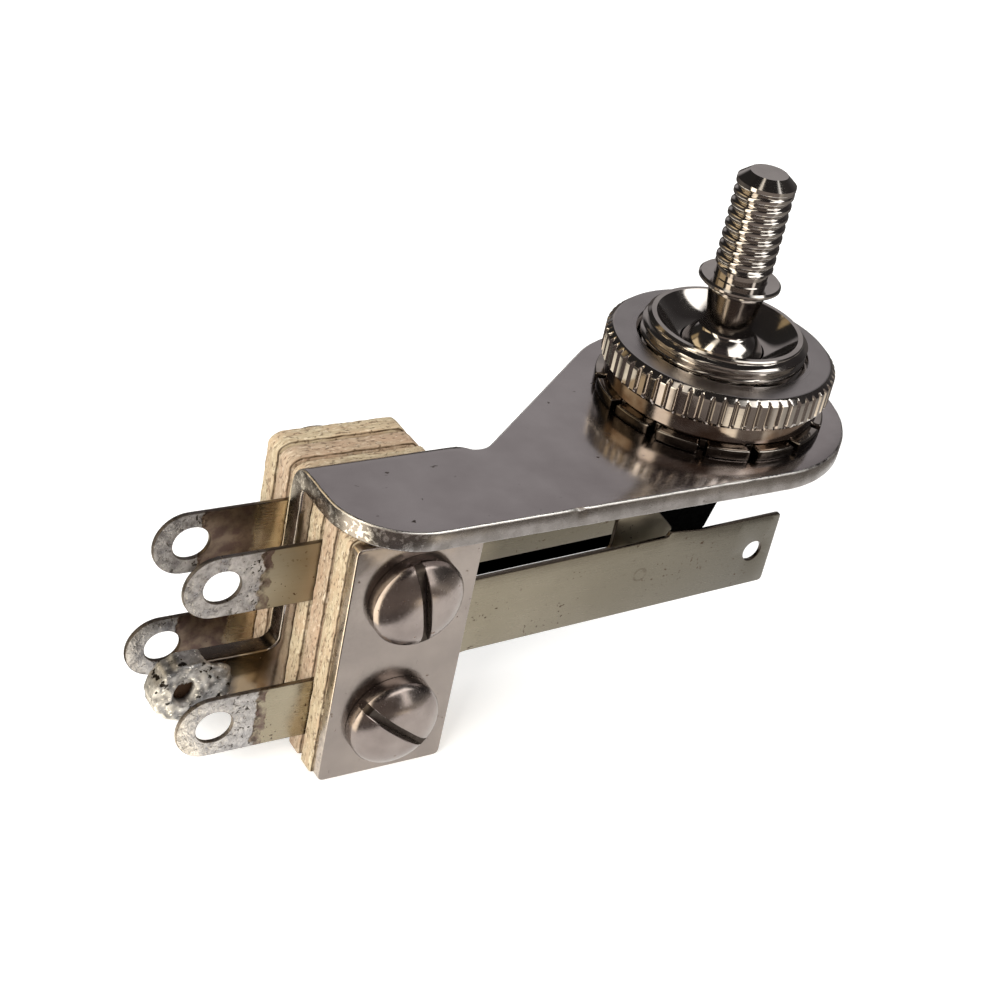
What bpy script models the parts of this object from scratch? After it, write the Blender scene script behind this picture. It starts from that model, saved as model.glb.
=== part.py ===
"""Right-angle three-way toggle switch for guitar pickups, panel mounted by its threaded bushing.

Frame: the origin is on the bushing's axis at the top face of the frame's plate. +Z runs up the lever,
+X runs from the contact stack to the bushing, and -Y is the side with the long front spring in view.
"""
import math

import bmesh
import bpy
from mathutils import Matrix

MM = 0.001
STEPS = 40

# Sheet metal frame
SHEET = 1.5 * MM
PLATE_RADIUS = 10.2 * MM
PLATE_REACH = 33.3 * MM
PLATE_CORNER = 5.5 * MM
LEG_BACK = -0.2 * MM
LEG_WIDTH = 11.3 * MM
LEG_DEPTH = 20.6 * MM
LEG_CORNER = 0.8 * MM
BEND_INSIDE = 0.3 * MM
BEND_STEPS = 8
RELIEF_RADIUS = 1.6 * MM
LUG_FILLET = 0.9 * MM

# Bushing, nut and washers
THREAD_RADIUS = 6.0 * MM
BUSHING_HEIGHT = 6.3 * MM
BUSHING_CHAMFER = 0.45 * MM
MOUTH_RADIUS = 5.05 * MM
NECK_RADIUS = 4.95 * MM
FLANGE_RADIUS = 6.2 * MM
FLANGE_THICK = 0.75 * MM
NUT_WALL = 2.4 * MM
NUT_STEP = 0.5 * MM
NUT_HUB_HEIGHT = 1.5 * MM
NUT_HEIGHT = 2.4 * MM
NUT_CHAMFER = 0.4 * MM
KNURL_DEPTH = 0.28 * MM
KNURL_COUNT = 64
WASHER_PROUD = 0.05 * MM
WASHER_THICK = 0.8 * MM
WASHER_NOTCHES = 14
WASHER_NOTCH_DEPTH = 0.9 * MM
WASHER_NOTCH_WIDTH = 0.5 * MM

# Lever and its pivot
PIVOT_HEIGHT = 3.2 * MM
BALL_RADIUS = 3.3 * MM
BALL_CLEARANCE = 0.1 * MM
SEAT_ANGLE = math.radians(25)
LEVER_TOP = 18.0 * MM
LEVER_THREAD_RADIUS = 2.08 * MM
LEVER_THREAD_LENGTH = 7.0 * MM
LEVER_TIP_CHAMFER = 0.72 * MM
SHANK_RADIUS = 1.87 * MM
COLLAR_RADIUS = 2.95 * MM
COLLAR_THICK = 0.42 * MM
COLLAR_HEIGHT = 9.65 * MM
NECK_TOP_RADIUS = 2.1 * MM
NECK_LOW_RADIUS = 1.6 * MM
ARM_RADIUS = 1.45 * MM
ARM_LENGTH = 9.7 * MM
THROW = math.radians(14)
PIN_RADIUS = 0.58 * MM
PIN_LENGTH = 7.9 * MM
PIN_CLEARANCE = 0.06 * MM
RING_THICK = 0.5 * MM
RING_BORE = 2.55 * MM
RING_DROP = 2.2 * MM

# Actuator paddle on the lever's lower end
PADDLE_TOP = -3.7 * MM
PADDLE_BOTTOM = -11.8 * MM
PADDLE_RIGHT = 3.0 * MM
PADDLE_GAP = 0.25 * MM
PADDLE_HALF_THICK = 2.1 * MM
PADDLE_CLEARANCE = 0.25 * MM
PADDLE_ROUND = 0.3 * MM

# Contact stack
STACK_INSET = 5.65 * MM
SCREW_TOP = -6.5 * MM
SCREW_PITCH = 10.0 * MM
SEAT = 0.03 * MM
INSULATOR_THICK = 1.54 * MM
INSULATOR_LEFT = 4.8 * MM
INSULATOR_RIGHT = 5.4 * MM
INSULATOR_TOP = -1.7 * MM
BACK_INSULATOR_RISE = 0.3 * MM
INSULATOR_DROP = 0.5 * MM
INSULATOR_CUT_X = 0.8 * MM
INSULATOR_CUT_Z = 0.8 * MM
INSULATOR_ROUND = 0.9 * MM
CLAMP_THICK = 0.9 * MM
CLAMP_WIDTH = 9.4 * MM
CLAMP_TOP = -2.1 * MM
CLAMP_CORNER = 0.5 * MM
BACK_CLAMP_DROP = 0.3 * MM
BACK_CLAMP_NARROW = 0.6 * MM

# Leaves, lugs and contacts
LEAF_THICK = 0.34 * MM
LEAF_INSET = 0.9 * MM
LUG_HEIGHT = 4.7 * MM
LUG_REACH = 8.7 * MM
LUG_HOLE_LENGTH = 2.95 * MM
LUG_HOLE_HEIGHT = 2.4 * MM
LUG_HOLE_INSET = 2.7 * MM
UPPER_LUG = -6.75 * MM
LOWER_LUG = -16.6 * MM
SPRING_TIP = 6.5 * MM
SPRING_TOP = -8.3 * MM
SPRING_BOTTOM = -14.5 * MM
BACK_SPRING_DROP = 1.0 * MM
SPRING_LEAD = 0.15 * MM
SPRING_SKEW = math.radians(2.55)
SPRING_STEP_X = -4.4 * MM
SPRING_STEP = 0.42 * MM
SPRING_STEP_LENGTH = 3.4 * MM
SPRING_CORNER = 0.8 * MM
SPRING_HOLE_RADIUS = 0.85 * MM
SPRING_HOLE_X = 4.6 * MM
SPRING_HOLE_Z = -11.4 * MM
SPRING_ROOT_FLARE = 0.9 * MM
SPRING_ROOT_LENGTH = 2.2 * MM
SHORT_TIP = -2.4 * MM
SHORT_HEAD_START = -7.9 * MM
SHORT_TOP = -7.2 * MM
SHORT_NECK_TOP = -9.9 * MM
SHORT_BOTTOM = -12.9 * MM
SHORT_CUT_X = 1.9 * MM
SHORT_CUT_Z = 1.9 * MM
CONTACT_X = -6.2 * MM
CONTACT_Z = -11.2 * MM
CONTACT_RADIUS = 1.2 * MM
CONTACT_GAP = 0.03 * MM

# Screws and their insulating sleeves
SCREW_HEAD_RADIUS = 3.3 * MM
SCREW_HEAD_HEIGHT = 2.15 * MM
SCREW_RIM = 0.95 * MM
SCREW_RADIUS = 1.4 * MM
SCREW_SLOT_WIDTH = 0.66 * MM
SCREW_SLOT_DEPTH = 0.95 * MM
SCREW_BITE = 0.66 * MM
SCREW_CLEARANCE = 0.1 * MM
SLEEVE_WALL = 0.42 * MM
SLEEVE_CLEARANCE = 0.08 * MM
SPRING_WASHER_RADIUS = 3.0 * MM
SPRING_WASHER_THICK = 0.8 * MM

# Places worked out from the driving sizes
NUT_RADIUS = THREAD_RADIUS + NUT_WALL
NUT_HUB_RADIUS = NUT_RADIUS - NUT_STEP
WASHER_RADIUS = NUT_RADIUS + WASHER_PROUD
LEG_FRONT = LEG_BACK - SHEET
BEND_START = LEG_BACK - SHEET - BEND_INSIDE
BEND_LENGTH = (BEND_INSIDE + SHEET / 2) * math.pi / 2
LEG_RIGHT = -PLATE_REACH + LEG_WIDTH
STACK_X = -PLATE_REACH + STACK_INSET
LUG_TIP = -PLATE_REACH - LUG_REACH
INSULATOR_BOTTOM = -LEG_DEPTH - INSULATOR_DROP
CLAMP_BOTTOM = INSULATOR_BOTTOM - SEAT
INSULATOR_EDGE = STACK_X + INSULATOR_RIGHT
SPRING_ROOT = INSULATOR_EDGE + SPRING_LEAD
SCREW_HEIGHTS = {"upper": SCREW_TOP, "lower": SCREW_TOP - SCREW_PITCH}
SLEEVE_BORE = SCREW_RADIUS + SCREW_CLEARANCE
SLEEVE_RADIUS = SLEEVE_BORE + SLEEVE_WALL
BORE_RADIUS = BALL_RADIUS + BALL_CLEARANCE
LEAF_HOLE_RADIUS = SLEEVE_RADIUS + 3 * SLEEVE_CLEARANCE
PADDLE_LEFT = SHORT_TIP + PADDLE_GAP

MATERIALS = {
    "satin_nickel": ((0.30, 0.28, 0.265), 0.28, 1.0),
    "bright_nickel": ((0.42, 0.39, 0.36), 0.12, 1.0),
    "nickel_silver": ((0.30, 0.27, 0.20), 0.3, 1.0),
    "clamp_steel": ((0.38, 0.34, 0.31), 0.32, 1.0),
    "screw_steel": ((0.36, 0.33, 0.31), 0.18, 1.0),
    "paper_board": ((0.60, 0.46, 0.29), 0.8, 0.0),
    "sleeve_board": ((0.35, 0.20, 0.10), 0.7, 0.0),
    "black_moulding": ((0.015, 0.015, 0.017), 0.45, 0.0),
    "contact_silver": ((0.70, 0.69, 0.66), 0.25, 1.0),
}


def clear_scene():
    for item in list(bpy.data.objects):
        bpy.data.objects.remove(item, do_unlink=True)


def new_collection(name):
    group = bpy.data.collections.new(name)
    bpy.context.scene.collection.children.link(group)
    return group


def material(name):
    found = bpy.data.materials.get(name)
    if found:
        return found
    colour, roughness, metallic = MATERIALS[name]
    made = bpy.data.materials.new(name)
    made.use_nodes = True
    shader = made.node_tree.nodes["Principled BSDF"]
    shader.inputs["Base Color"].default_value = (*colour, 1.0)
    shader.inputs["Roughness"].default_value = roughness
    shader.inputs["Metallic"].default_value = metallic
    return made


def add_object(name, mesh, look=None):
    """Links a mesh as a part, or as a cutter where it has no material."""
    item = bpy.data.objects.new(name, mesh)
    if look:
        mesh.materials.append(material(look))
        parts.objects.link(item)
    else:
        cutters.objects.link(item)
        item.hide_render = True
        item.display_type = "WIRE"
    return item


def arc(centre, radius, start, end, count):
    """Points on a circle from one angle to another, in radians."""
    points = []
    for i in range(count + 1):
        angle = start + (end - start) * i / count
        points.append((centre[0] + radius * math.cos(angle), centre[1] + radius * math.sin(angle)))
    return points


def circle(centre, radius, count=24):
    return arc(centre, radius, 0, 2 * math.pi, count)[:-1]


def slot_hole(centre, length, height, count=8):
    """A hole with straight sides and round ends, longer along the first axis."""
    radius = height / 2
    half = length / 2 - radius
    quarter = math.pi / 2
    right = arc((centre[0] + half, centre[1]), radius, -quarter, quarter, count)
    left = arc((centre[0] - half, centre[1]), radius, quarter, 3 * quarter, count)
    return right + left


def flat_mesh(name, outline, holes, thickness):
    """A sheet piece lying in the XY plane with its mid-plane at Z 0: a filled 2D curve, made a mesh."""
    curve = bpy.data.curves.new(name, "CURVE")
    curve.dimensions = "2D"
    curve.fill_mode = "BOTH"
    curve.extrude = thickness / 2
    for loop in [outline] + holes:
        spline = curve.splines.new("POLY")
        spline.points.add(len(loop) - 1)
        for point, (x, y) in zip(spline.points, loop):
            point.co = (x, y, 0, 1)
        spline.use_cyclic_u = True
    source = bpy.data.objects.new(name, curve)
    cutters.objects.link(source)
    bpy.context.view_layer.update()
    graph = bpy.context.evaluated_depsgraph_get()
    mesh = bpy.data.meshes.new_from_object(source.evaluated_get(graph))
    bpy.data.objects.remove(source, do_unlink=True)
    weld(mesh)
    return mesh


def weld(mesh):
    """Joins the loose caps and seams of a mesh and turns its faces outward."""
    cage = bmesh.new()
    cage.from_mesh(mesh)
    bmesh.ops.remove_doubles(cage, verts=cage.verts, dist=1e-7)
    bmesh.ops.dissolve_degenerate(cage, edges=cage.edges, dist=1e-7)
    bmesh.ops.recalc_face_normals(cage, faces=cage.faces)
    cage.to_mesh(mesh)
    cage.free()


def turned_mesh(name, profile, closed, steps=STEPS):
    """A profile of (radius, height) points, outer side from top to bottom, turned about Z."""
    mesh = bpy.data.meshes.new(name)
    edges = [(i, i + 1) for i in range(len(profile) - 1)]
    if closed:
        edges.append((len(profile) - 1, 0))
    mesh.from_pydata([(r, 0, z) for r, z in profile], edges, [])
    source = bpy.data.objects.new(name, mesh)
    cutters.objects.link(source)
    screw = source.modifiers.new("turn", "SCREW")
    screw.steps = steps
    screw.render_steps = steps
    screw.use_merge_vertices = True
    screw.merge_threshold = 0.000001
    bpy.context.view_layer.update()
    graph = bpy.context.evaluated_depsgraph_get()
    turned = bpy.data.meshes.new_from_object(source.evaluated_get(graph))
    bpy.data.objects.remove(source, do_unlink=True)
    weld(turned)
    turned.shade_smooth()
    turned.set_sharp_from_angle(angle=math.radians(30))
    return turned


def box_mesh(name, low, high):
    mesh = bpy.data.meshes.new(name)
    cage = bmesh.new()
    bmesh.ops.create_cube(cage, size=1)
    for vertex in cage.verts:
        for axis in range(3):
            side = high[axis] if vertex.co[axis] > 0 else low[axis]
            vertex.co[axis] = side
    cage.to_mesh(mesh)
    cage.free()
    return mesh


def cut(item, cutter, operation="DIFFERENCE"):
    boolean = item.modifiers.new(cutter.name, "BOOLEAN")
    boolean.operation = operation
    boolean.solver = "EXACT"
    boolean.object = cutter


def stand(item, x, y, z, back=False):
    """Stands a piece made in the XY plane upright in XZ; its own +Z then points forward, or back."""
    quarter = math.pi / 2
    item.rotation_euler = (-quarter if back else quarter, 0, 0)
    item.location = (x, y, z)


def lug_outline(start, centre):
    """The outline of a leaf's solder lug, from its upper root round the tip to its lower root."""
    half = LUG_HEIGHT / 2
    tip = arc((LUG_TIP + half, centre), half, math.pi / 2, 3 * math.pi / 2, 12)
    return [(start, centre + half)] + tip + [(start, centre - half)]


def lug_hole(centre):
    return slot_hole((LUG_TIP + LUG_HOLE_INSET, centre), LUG_HOLE_LENGTH, LUG_HOLE_HEIGHT)


def edge_number(element):
    return element.index


def unfolded(z):
    """The place on the flat blank of a point at height z on the leg."""
    return BEND_START + BEND_LENGTH - z - SHEET - BEND_INSIDE


def fold(mesh):
    """Bends the blank down about the X direction at the tongue's back edge, left of the relief only."""
    cage = bmesh.new()
    cage.from_mesh(mesh)
    relief = LEG_RIGHT + RELIEF_RADIUS
    everything = cage.verts[:] + cage.edges[:] + cage.faces[:]
    bmesh.ops.bisect_plane(cage, geom=everything, dist=1e-8, plane_co=(relief, 0, 0), plane_no=(1, 0, 0))
    for i in range(BEND_STEPS + 1):
        line = BEND_START + BEND_LENGTH * i / BEND_STEPS
        left = [face for face in cage.faces if face.calc_center_median().x < relief]
        edges = {edge for face in left for edge in face.edges}
        verts = {vert for face in left for vert in face.verts}
        bmesh.ops.bisect_plane(
            cage,
            geom=left + sorted(edges, key=edge_number) + sorted(verts, key=edge_number),
            dist=1e-8,
            plane_co=(0, line, 0),
            plane_no=(0, 1, 0),
        )
    centre_z = -SHEET - BEND_INSIDE
    for vertex in cage.verts:
        along = vertex.co.y - BEND_START
        if along <= 0 or vertex.co.x > relief + SEAT / 10:
            continue
        angle = min(along / BEND_LENGTH, 1) * math.pi / 2
        past = max(along - BEND_LENGTH, 0)
        reach = vertex.co.z - centre_z
        vertex.co.y = BEND_START + reach * math.sin(angle)
        vertex.co.z = centre_z + reach * math.cos(angle) - past
    cage.to_mesh(mesh)
    cage.free()


def make_frame():
    """One folded sheet: round plate, tongue, leg between the two half stacks, and the ground lug."""
    notch = (LEG_RIGHT + RELIEF_RADIUS, BEND_START + RELIEF_RADIUS)
    slope = math.atan2(-notch[1], -notch[0])
    slope += math.asin((PLATE_RADIUS + RELIEF_RADIUS) / math.hypot(*notch))
    quarter = math.pi / 2
    left = -PLATE_REACH
    half = LUG_HEIGHT / 2
    foot = unfolded(-LEG_DEPTH)
    outline = arc((0, 0), PLATE_RADIUS, -quarter, quarter + slope, 40)
    outline += arc(notch, RELIEF_RADIUS, slope - quarter, -math.pi, 10)
    outline += arc((LEG_RIGHT - LEG_CORNER, foot - LEG_CORNER), LEG_CORNER, 0, quarter, 6)
    outline += arc((left + LEG_CORNER, foot - LEG_CORNER), LEG_CORNER, quarter, math.pi, 6)
    lug_low = unfolded(LOWER_LUG - half)
    lug_high = unfolded(LOWER_LUG + half)
    outline += arc((left - LUG_FILLET, lug_low + LUG_FILLET), LUG_FILLET, 0, -quarter, 6)
    outline += arc((LUG_TIP + half, (lug_low + lug_high) / 2), half, quarter, 3 * quarter, 12)
    outline += arc((left - LUG_FILLET, lug_high - LUG_FILLET), LUG_FILLET, quarter, 0, 6)
    corner = (left + PLATE_CORNER, -PLATE_RADIUS + PLATE_CORNER)
    outline += arc(corner, PLATE_CORNER, math.pi, 3 * quarter, 14)
    holes = [circle((0, 0), NECK_RADIUS + SEAT, STEPS)]
    for height in SCREW_HEIGHTS.values():
        holes.append(circle((STACK_X, unfolded(height)), SCREW_RADIUS + SCREW_CLEARANCE))
    holes.append(slot_hole((LUG_TIP + LUG_HOLE_INSET, unfolded(LOWER_LUG)), LUG_HOLE_LENGTH, LUG_HOLE_HEIGHT))
    mesh = flat_mesh("frame", outline, holes, SHEET)
    for vertex in mesh.vertices:
        vertex.co.z -= SHEET / 2
    fold(mesh)
    return add_object("frame", mesh, "satin_nickel")


def make_bushing():
    """Threaded bushing staked in the plate, dished at the mouth, with a ball seat and two pin slots."""
    rim = BUSHING_HEIGHT
    flange_top = -SHEET - SEAT
    flange_bottom = flange_top - FLANGE_THICK
    profile = [
        (THREAD_RADIUS - BUSHING_CHAMFER, rim),
        (THREAD_RADIUS, rim - BUSHING_CHAMFER),
        (THREAD_RADIUS, SEAT),
        (NECK_RADIUS, SEAT),
        (NECK_RADIUS, flange_top),
        (FLANGE_RADIUS, flange_top),
        (FLANGE_RADIUS, flange_bottom),
        (BORE_RADIUS, flange_bottom),
    ]
    for r, z in arc((0, PIVOT_HEIGHT), BORE_RADIUS, 0, SEAT_ANGLE, 4):
        profile.append((r, z))
    profile.append((MOUTH_RADIUS, rim))
    bushing = add_object("bushing", turned_mesh("bushing", profile, True), "bright_nickel")
    reach = PIN_LENGTH / 2 + PIN_CLEARANCE
    groove = PIN_RADIUS + PIN_CLEARANCE
    rod = add_object("pin_slot_end", rod_mesh("pin_slot_end", groove, 2 * reach))
    rod.location = (0, 0, PIVOT_HEIGHT)
    low = (-reach, -groove, flange_bottom - SHEET)
    slot = add_object("pin_slot", box_mesh("pin_slot", low, (reach, groove, PIVOT_HEIGHT)))
    cut(bushing, rod)
    cut(bushing, slot)


def rod_mesh(name, radius, length, sides=16):
    """A plain round bar along X, centred on its own origin."""
    mesh = bpy.data.meshes.new(name)
    cage = bmesh.new()
    bmesh.ops.create_cone(
        cage, cap_ends=True, segments=sides, radius1=radius, radius2=radius, depth=length
    )
    for vertex in cage.verts:
        x, y, z = vertex.co
        vertex.co = (z, y, -x)
    cage.to_mesh(mesh)
    cage.free()
    mesh.shade_smooth()
    mesh.set_sharp_from_angle(angle=math.radians(30))
    return mesh


def make_retaining_ring():
    """Flat ring that keeps the ball up in its seat."""
    top = PIVOT_HEIGHT - RING_DROP
    bottom = top - RING_THICK
    outside = BORE_RADIUS - SEAT
    profile = [(outside, top), (outside, bottom), (RING_BORE, bottom), (RING_BORE, top)]
    add_object("retaining_ring", turned_mesh("retaining_ring", profile, True, 32), "screw_steel")


def make_lock_washer():
    """Toothed lock washer: a ring with radial notches round its outer edge."""
    outline = []
    half_notch = math.asin(WASHER_NOTCH_WIDTH / 2 / WASHER_RADIUS)
    root = WASHER_RADIUS - WASHER_NOTCH_DEPTH
    pitch = 2 * math.pi / WASHER_NOTCHES
    for i in range(WASHER_NOTCHES):
        start = i * pitch
        outline += arc((0, 0), root, start - half_notch, start + half_notch, 1)
        outline += arc((0, 0), WASHER_RADIUS, start + half_notch, start + pitch - half_notch, 5)
    bore = circle((0, 0), THREAD_RADIUS + SLEEVE_CLEARANCE, STEPS)
    mesh = flat_mesh("lock_washer", outline, [bore], WASHER_THICK)
    washer = add_object("lock_washer", mesh, "screw_steel")
    washer.location.z = SEAT + WASHER_THICK / 2


def make_nut():
    """Round knurled nut with a plain hub below, its knurl kept by a chamfered blank."""
    bottom = 2 * SEAT + WASHER_THICK
    shoulder = bottom + NUT_HUB_HEIGHT
    top = shoulder + NUT_HEIGHT
    bore = THREAD_RADIUS + SLEEVE_CLEARANCE
    lead = NUT_CHAMFER / 2
    profile = [
        (NUT_RADIUS - NUT_CHAMFER, top),
        (NUT_RADIUS, top - NUT_CHAMFER),
        (NUT_RADIUS, shoulder + lead),
        (NUT_RADIUS - lead, shoulder),
        (NUT_HUB_RADIUS, shoulder),
        (NUT_HUB_RADIUS, bottom + lead),
        (NUT_HUB_RADIUS - lead, bottom),
        (bore, bottom),
        (bore, top - lead),
        (bore + lead, top),
    ]
    nut = add_object("knurled_nut", turned_mesh("knurled_nut", profile, True, 48), "bright_nickel")
    outline = []
    pitch = 2 * math.pi / KNURL_COUNT
    for i in range(KNURL_COUNT):
        for share, radius in ((-0.38, NUT_RADIUS), (0, NUT_RADIUS - KNURL_DEPTH)):
            angle = (i + share) * pitch
            outline.append((radius * math.cos(angle), radius * math.sin(angle)))
        angle = (i + 0.38) * pitch
        outline.append((NUT_RADIUS * math.cos(angle), NUT_RADIUS * math.sin(angle)))
    mesh = flat_mesh("knurl", outline, [], 4 * NUT_HEIGHT)
    knurl = add_object("knurl", mesh)
    knurl.location.z = shoulder
    cut(nut, knurl, "INTERSECT")


def make_lever():
    """The turned lever, its ball, pin hole and the arm that carries the paddle; origin on the pivot."""
    top = LEVER_TOP - PIVOT_HEIGHT
    thread_end = top - LEVER_THREAD_LENGTH
    collar = COLLAR_HEIGHT - PIVOT_HEIGHT
    neck_angle = math.acos(NECK_LOW_RADIUS / BALL_RADIUS)
    arm_angle = -math.acos(ARM_RADIUS / BALL_RADIUS)
    profile = [
        (0, top),
        (LEVER_THREAD_RADIUS - LEVER_TIP_CHAMFER, top),
        (LEVER_THREAD_RADIUS, top - LEVER_TIP_CHAMFER),
        (LEVER_THREAD_RADIUS, thread_end),
        (SHANK_RADIUS, thread_end - (LEVER_THREAD_RADIUS - SHANK_RADIUS)),
        (SHANK_RADIUS, collar + COLLAR_THICK),
        (COLLAR_RADIUS, collar + COLLAR_THICK),
        (COLLAR_RADIUS, collar),
        (NECK_TOP_RADIUS, collar),
        (NECK_TOP_RADIUS, collar - COLLAR_THICK),
    ]
    for r, z in arc((0, 0), BALL_RADIUS, neck_angle, arm_angle, 14):
        profile.append((r, z))
    profile.append((ARM_RADIUS, -ARM_LENGTH))
    profile.append((0, -ARM_LENGTH))
    lever = add_object("lever", turned_mesh("lever", profile, False), "bright_nickel")
    lever.location.z = PIVOT_HEIGHT
    hole = add_object("pin_hole", rod_mesh("pin_hole", PIN_RADIUS + PIN_CLEARANCE, 4 * BALL_RADIUS))
    hole.location.z = PIVOT_HEIGHT
    cut(lever, hole)
    pin = add_object("pivot_pin", rod_mesh("pivot_pin", PIN_RADIUS, PIN_LENGTH), "screw_steel")
    pin.location.z = PIVOT_HEIGHT


def paddle_half(depth):
    """Half the paddle's thickness that clears the long springs at full throw, at a depth below the pivot."""
    side = spring_y(0, 0) - LEAF_THICK / 2 - PADDLE_CLEARANCE
    room = (side - depth * math.sin(THROW)) / math.cos(THROW)
    return min(room, PADDLE_HALF_THICK)


def spring_y(half, x):
    """How far a long spring's middle is from the lever's axis at x: half 0 is the smaller side."""
    lean = (x - SPRING_ROOT) * math.tan(SPRING_SKEW)
    front = -(stack_y("front", "long") + lean)
    back = stack_y("back", "long") + lean
    return sorted((front, back))[half]


def make_paddle():
    """Black wedge on the lever's arm that stands between the two long springs."""
    depths = [PIVOT_HEIGHT - PADDLE_TOP]
    spring_depth = PIVOT_HEIGHT - SPRING_TOP
    last = PIVOT_HEIGHT - PADDLE_BOTTOM
    depths += [spring_depth * 0.84, spring_depth * 0.98, last]
    widths = [PADDLE_HALF_THICK, PADDLE_HALF_THICK, paddle_half(depths[2]), paddle_half(last)]
    right = [(w, -d) for w, d in zip(widths, depths)]
    left = [(-w, -d) for w, d in zip(reversed(widths), reversed(depths))]
    width = PADDLE_RIGHT - PADDLE_LEFT
    mesh = flat_mesh("actuator_paddle", right + left, [], width)
    for vertex in mesh.vertices:
        y, z, x = vertex.co
        vertex.co = (x + PADDLE_LEFT + width / 2, y, z)
    paddle = add_object("actuator_paddle", mesh, "black_moulding")
    paddle.location.z = PIVOT_HEIGHT
    bevel = paddle.modifiers.new("edges", "BEVEL")
    bevel.width = PADDLE_ROUND
    bevel.segments = 2
    bevel.limit_method = "ANGLE"
    bevel.angle_limit = math.radians(60)
    bore = turned_mesh("paddle_socket", [
        (0, 0),
        (ARM_RADIUS + SEAT, 0),
        (ARM_RADIUS + SEAT, -ARM_LENGTH - SEAT),
        (0, -ARM_LENGTH - SEAT),
    ], False)
    socket = add_object("paddle_socket", bore)
    socket.location.z = PIVOT_HEIGHT
    cut(paddle, socket)


def stack_y(side, layer):
    """The middle of a layer of the stack, counted out from the leg on one side of it."""
    order = ["inner", "short", "middle", "long", "outer", "clamp"]
    thick = {"short": LEAF_THICK, "long": LEAF_THICK, "clamp": CLAMP_THICK}
    out = 0
    for name in order:
        half = thick.get(name, INSULATOR_THICK) / 2
        out += SEAT + half
        if name == layer:
            break
        out += half
    return LEG_FRONT - out if side == "front" else LEG_BACK + out


def make_insulators(side):
    """Three pressed paperboard blocks with one corner cut and the others eased."""
    left = -INSULATOR_LEFT
    right = INSULATOR_RIGHT
    top = INSULATOR_TOP + (BACK_INSULATOR_RISE if side == "back" else 0)
    low = INSULATOR_BOTTOM
    ease = INSULATOR_ROUND
    quarter = math.pi / 2
    outline = [(right, low), (right, top - INSULATOR_CUT_Z), (right - INSULATOR_CUT_X, top)]
    outline += arc((left + ease, top - ease), ease, quarter, math.pi, 5)
    outline += [(left, low)]
    for layer in ("inner", "middle", "outer"):
        name = f"{side}_insulator_{layer}"
        holes = [circle((0, height), SLEEVE_RADIUS + SLEEVE_CLEARANCE) for height in SCREW_HEIGHTS.values()]
        mesh = flat_mesh(name, outline, holes, INSULATOR_THICK)
        stand(add_object(name, mesh, "paper_board"), STACK_X, stack_y(side, layer), 0)


def make_clamp(side):
    """Pressure plate under the screw heads."""
    half = CLAMP_WIDTH / 2 - (BACK_CLAMP_NARROW if side == "back" else 0)
    drop = BACK_CLAMP_DROP if side == "back" else 0
    top = CLAMP_TOP - drop
    low = CLAMP_BOTTOM
    r = CLAMP_CORNER
    quarter = math.pi / 2
    outline = arc((half - r, low + r), r, -quarter, 0, 5)
    outline += arc((half - r, top - r), r, 0, quarter, 5)
    outline += arc((-half + r / 2, top - r / 2), r / 2, quarter, math.pi, 3)
    outline += arc((-half + r / 2, low + r / 2), r / 2, math.pi, 3 * quarter, 3)
    holes = [circle((0, height), SCREW_RADIUS + 2 * SCREW_CLEARANCE) for height in SCREW_HEIGHTS.values()]
    name = f"{side}_clamp_plate"
    mesh = flat_mesh(name, outline, holes, CLAMP_THICK)
    stand(add_object(name, mesh, "clamp_steel"), STACK_X, stack_y(side, "clamp"), 0)


def stack_outline():
    """The part of a leaf that is clamped in the stack, as its four edges."""
    left = -INSULATOR_LEFT + LEAF_INSET
    right = INSULATOR_RIGHT - LEAF_INSET
    top = INSULATOR_TOP - LEAF_INSET
    low = INSULATOR_BOTTOM + LEAF_INSET
    return left + STACK_X, right + STACK_X, top, low


def leaf_holes(lug):
    holes = [circle((STACK_X, height), LEAF_HOLE_RADIUS) for height in SCREW_HEIGHTS.values()]
    holes.append(lug_hole(lug))
    return holes


def lean(mesh, root):
    """Forms an arm towards +Y past its root line, by the same slope on every leaf."""
    cage = bmesh.new()
    cage.from_mesh(mesh)
    everything = cage.verts[:] + cage.edges[:] + cage.faces[:]
    bmesh.ops.bisect_plane(cage, geom=everything, dist=1e-8, plane_co=(root, 0, 0), plane_no=(1, 0, 0))
    for vertex in cage.verts:
        vertex.co.z -= max(vertex.co.x - root, 0) * math.tan(SPRING_SKEW)
    cage.to_mesh(mesh)
    cage.free()


def make_long_leaf(side):
    """Long contact spring in one piece: lower lug, clamped plate and the arm that reaches past the lever."""
    left, right, top, low = stack_outline()
    step = SPRING_STEP_X
    r = SPRING_CORNER
    quarter = math.pi / 2
    bottom = SPRING_BOTTOM - (BACK_SPRING_DROP if side == "back" else 0)
    outline = [(right, low), (right, bottom - SPRING_ROOT_FLARE)]
    outline += [(right + SPRING_ROOT_LENGTH, bottom)]
    outline += arc((SPRING_TIP - r, bottom + r), r, -quarter, 0, 5)
    outline += [(SPRING_TIP, SPRING_TOP), (step + SPRING_STEP_LENGTH, SPRING_TOP)]
    outline += [(step + SPRING_STEP / 2, SPRING_TOP + SPRING_STEP), (step, SPRING_TOP)]
    outline += [(right, SPRING_TOP), (right, top), (left, top)]
    outline += lug_outline(left, LOWER_LUG)
    outline += [(left, low)]
    holes = leaf_holes(LOWER_LUG)
    holes.append(circle((SPRING_HOLE_X, SPRING_HOLE_Z), SPRING_HOLE_RADIUS, 20))
    name = f"{side}_long_leaf"
    mesh = flat_mesh(name, outline, holes, LEAF_THICK)
    lean(mesh, SPRING_ROOT)
    stand(add_object(name, mesh, "nickel_silver"), 0, stack_y(side, "long"), 0)


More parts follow.
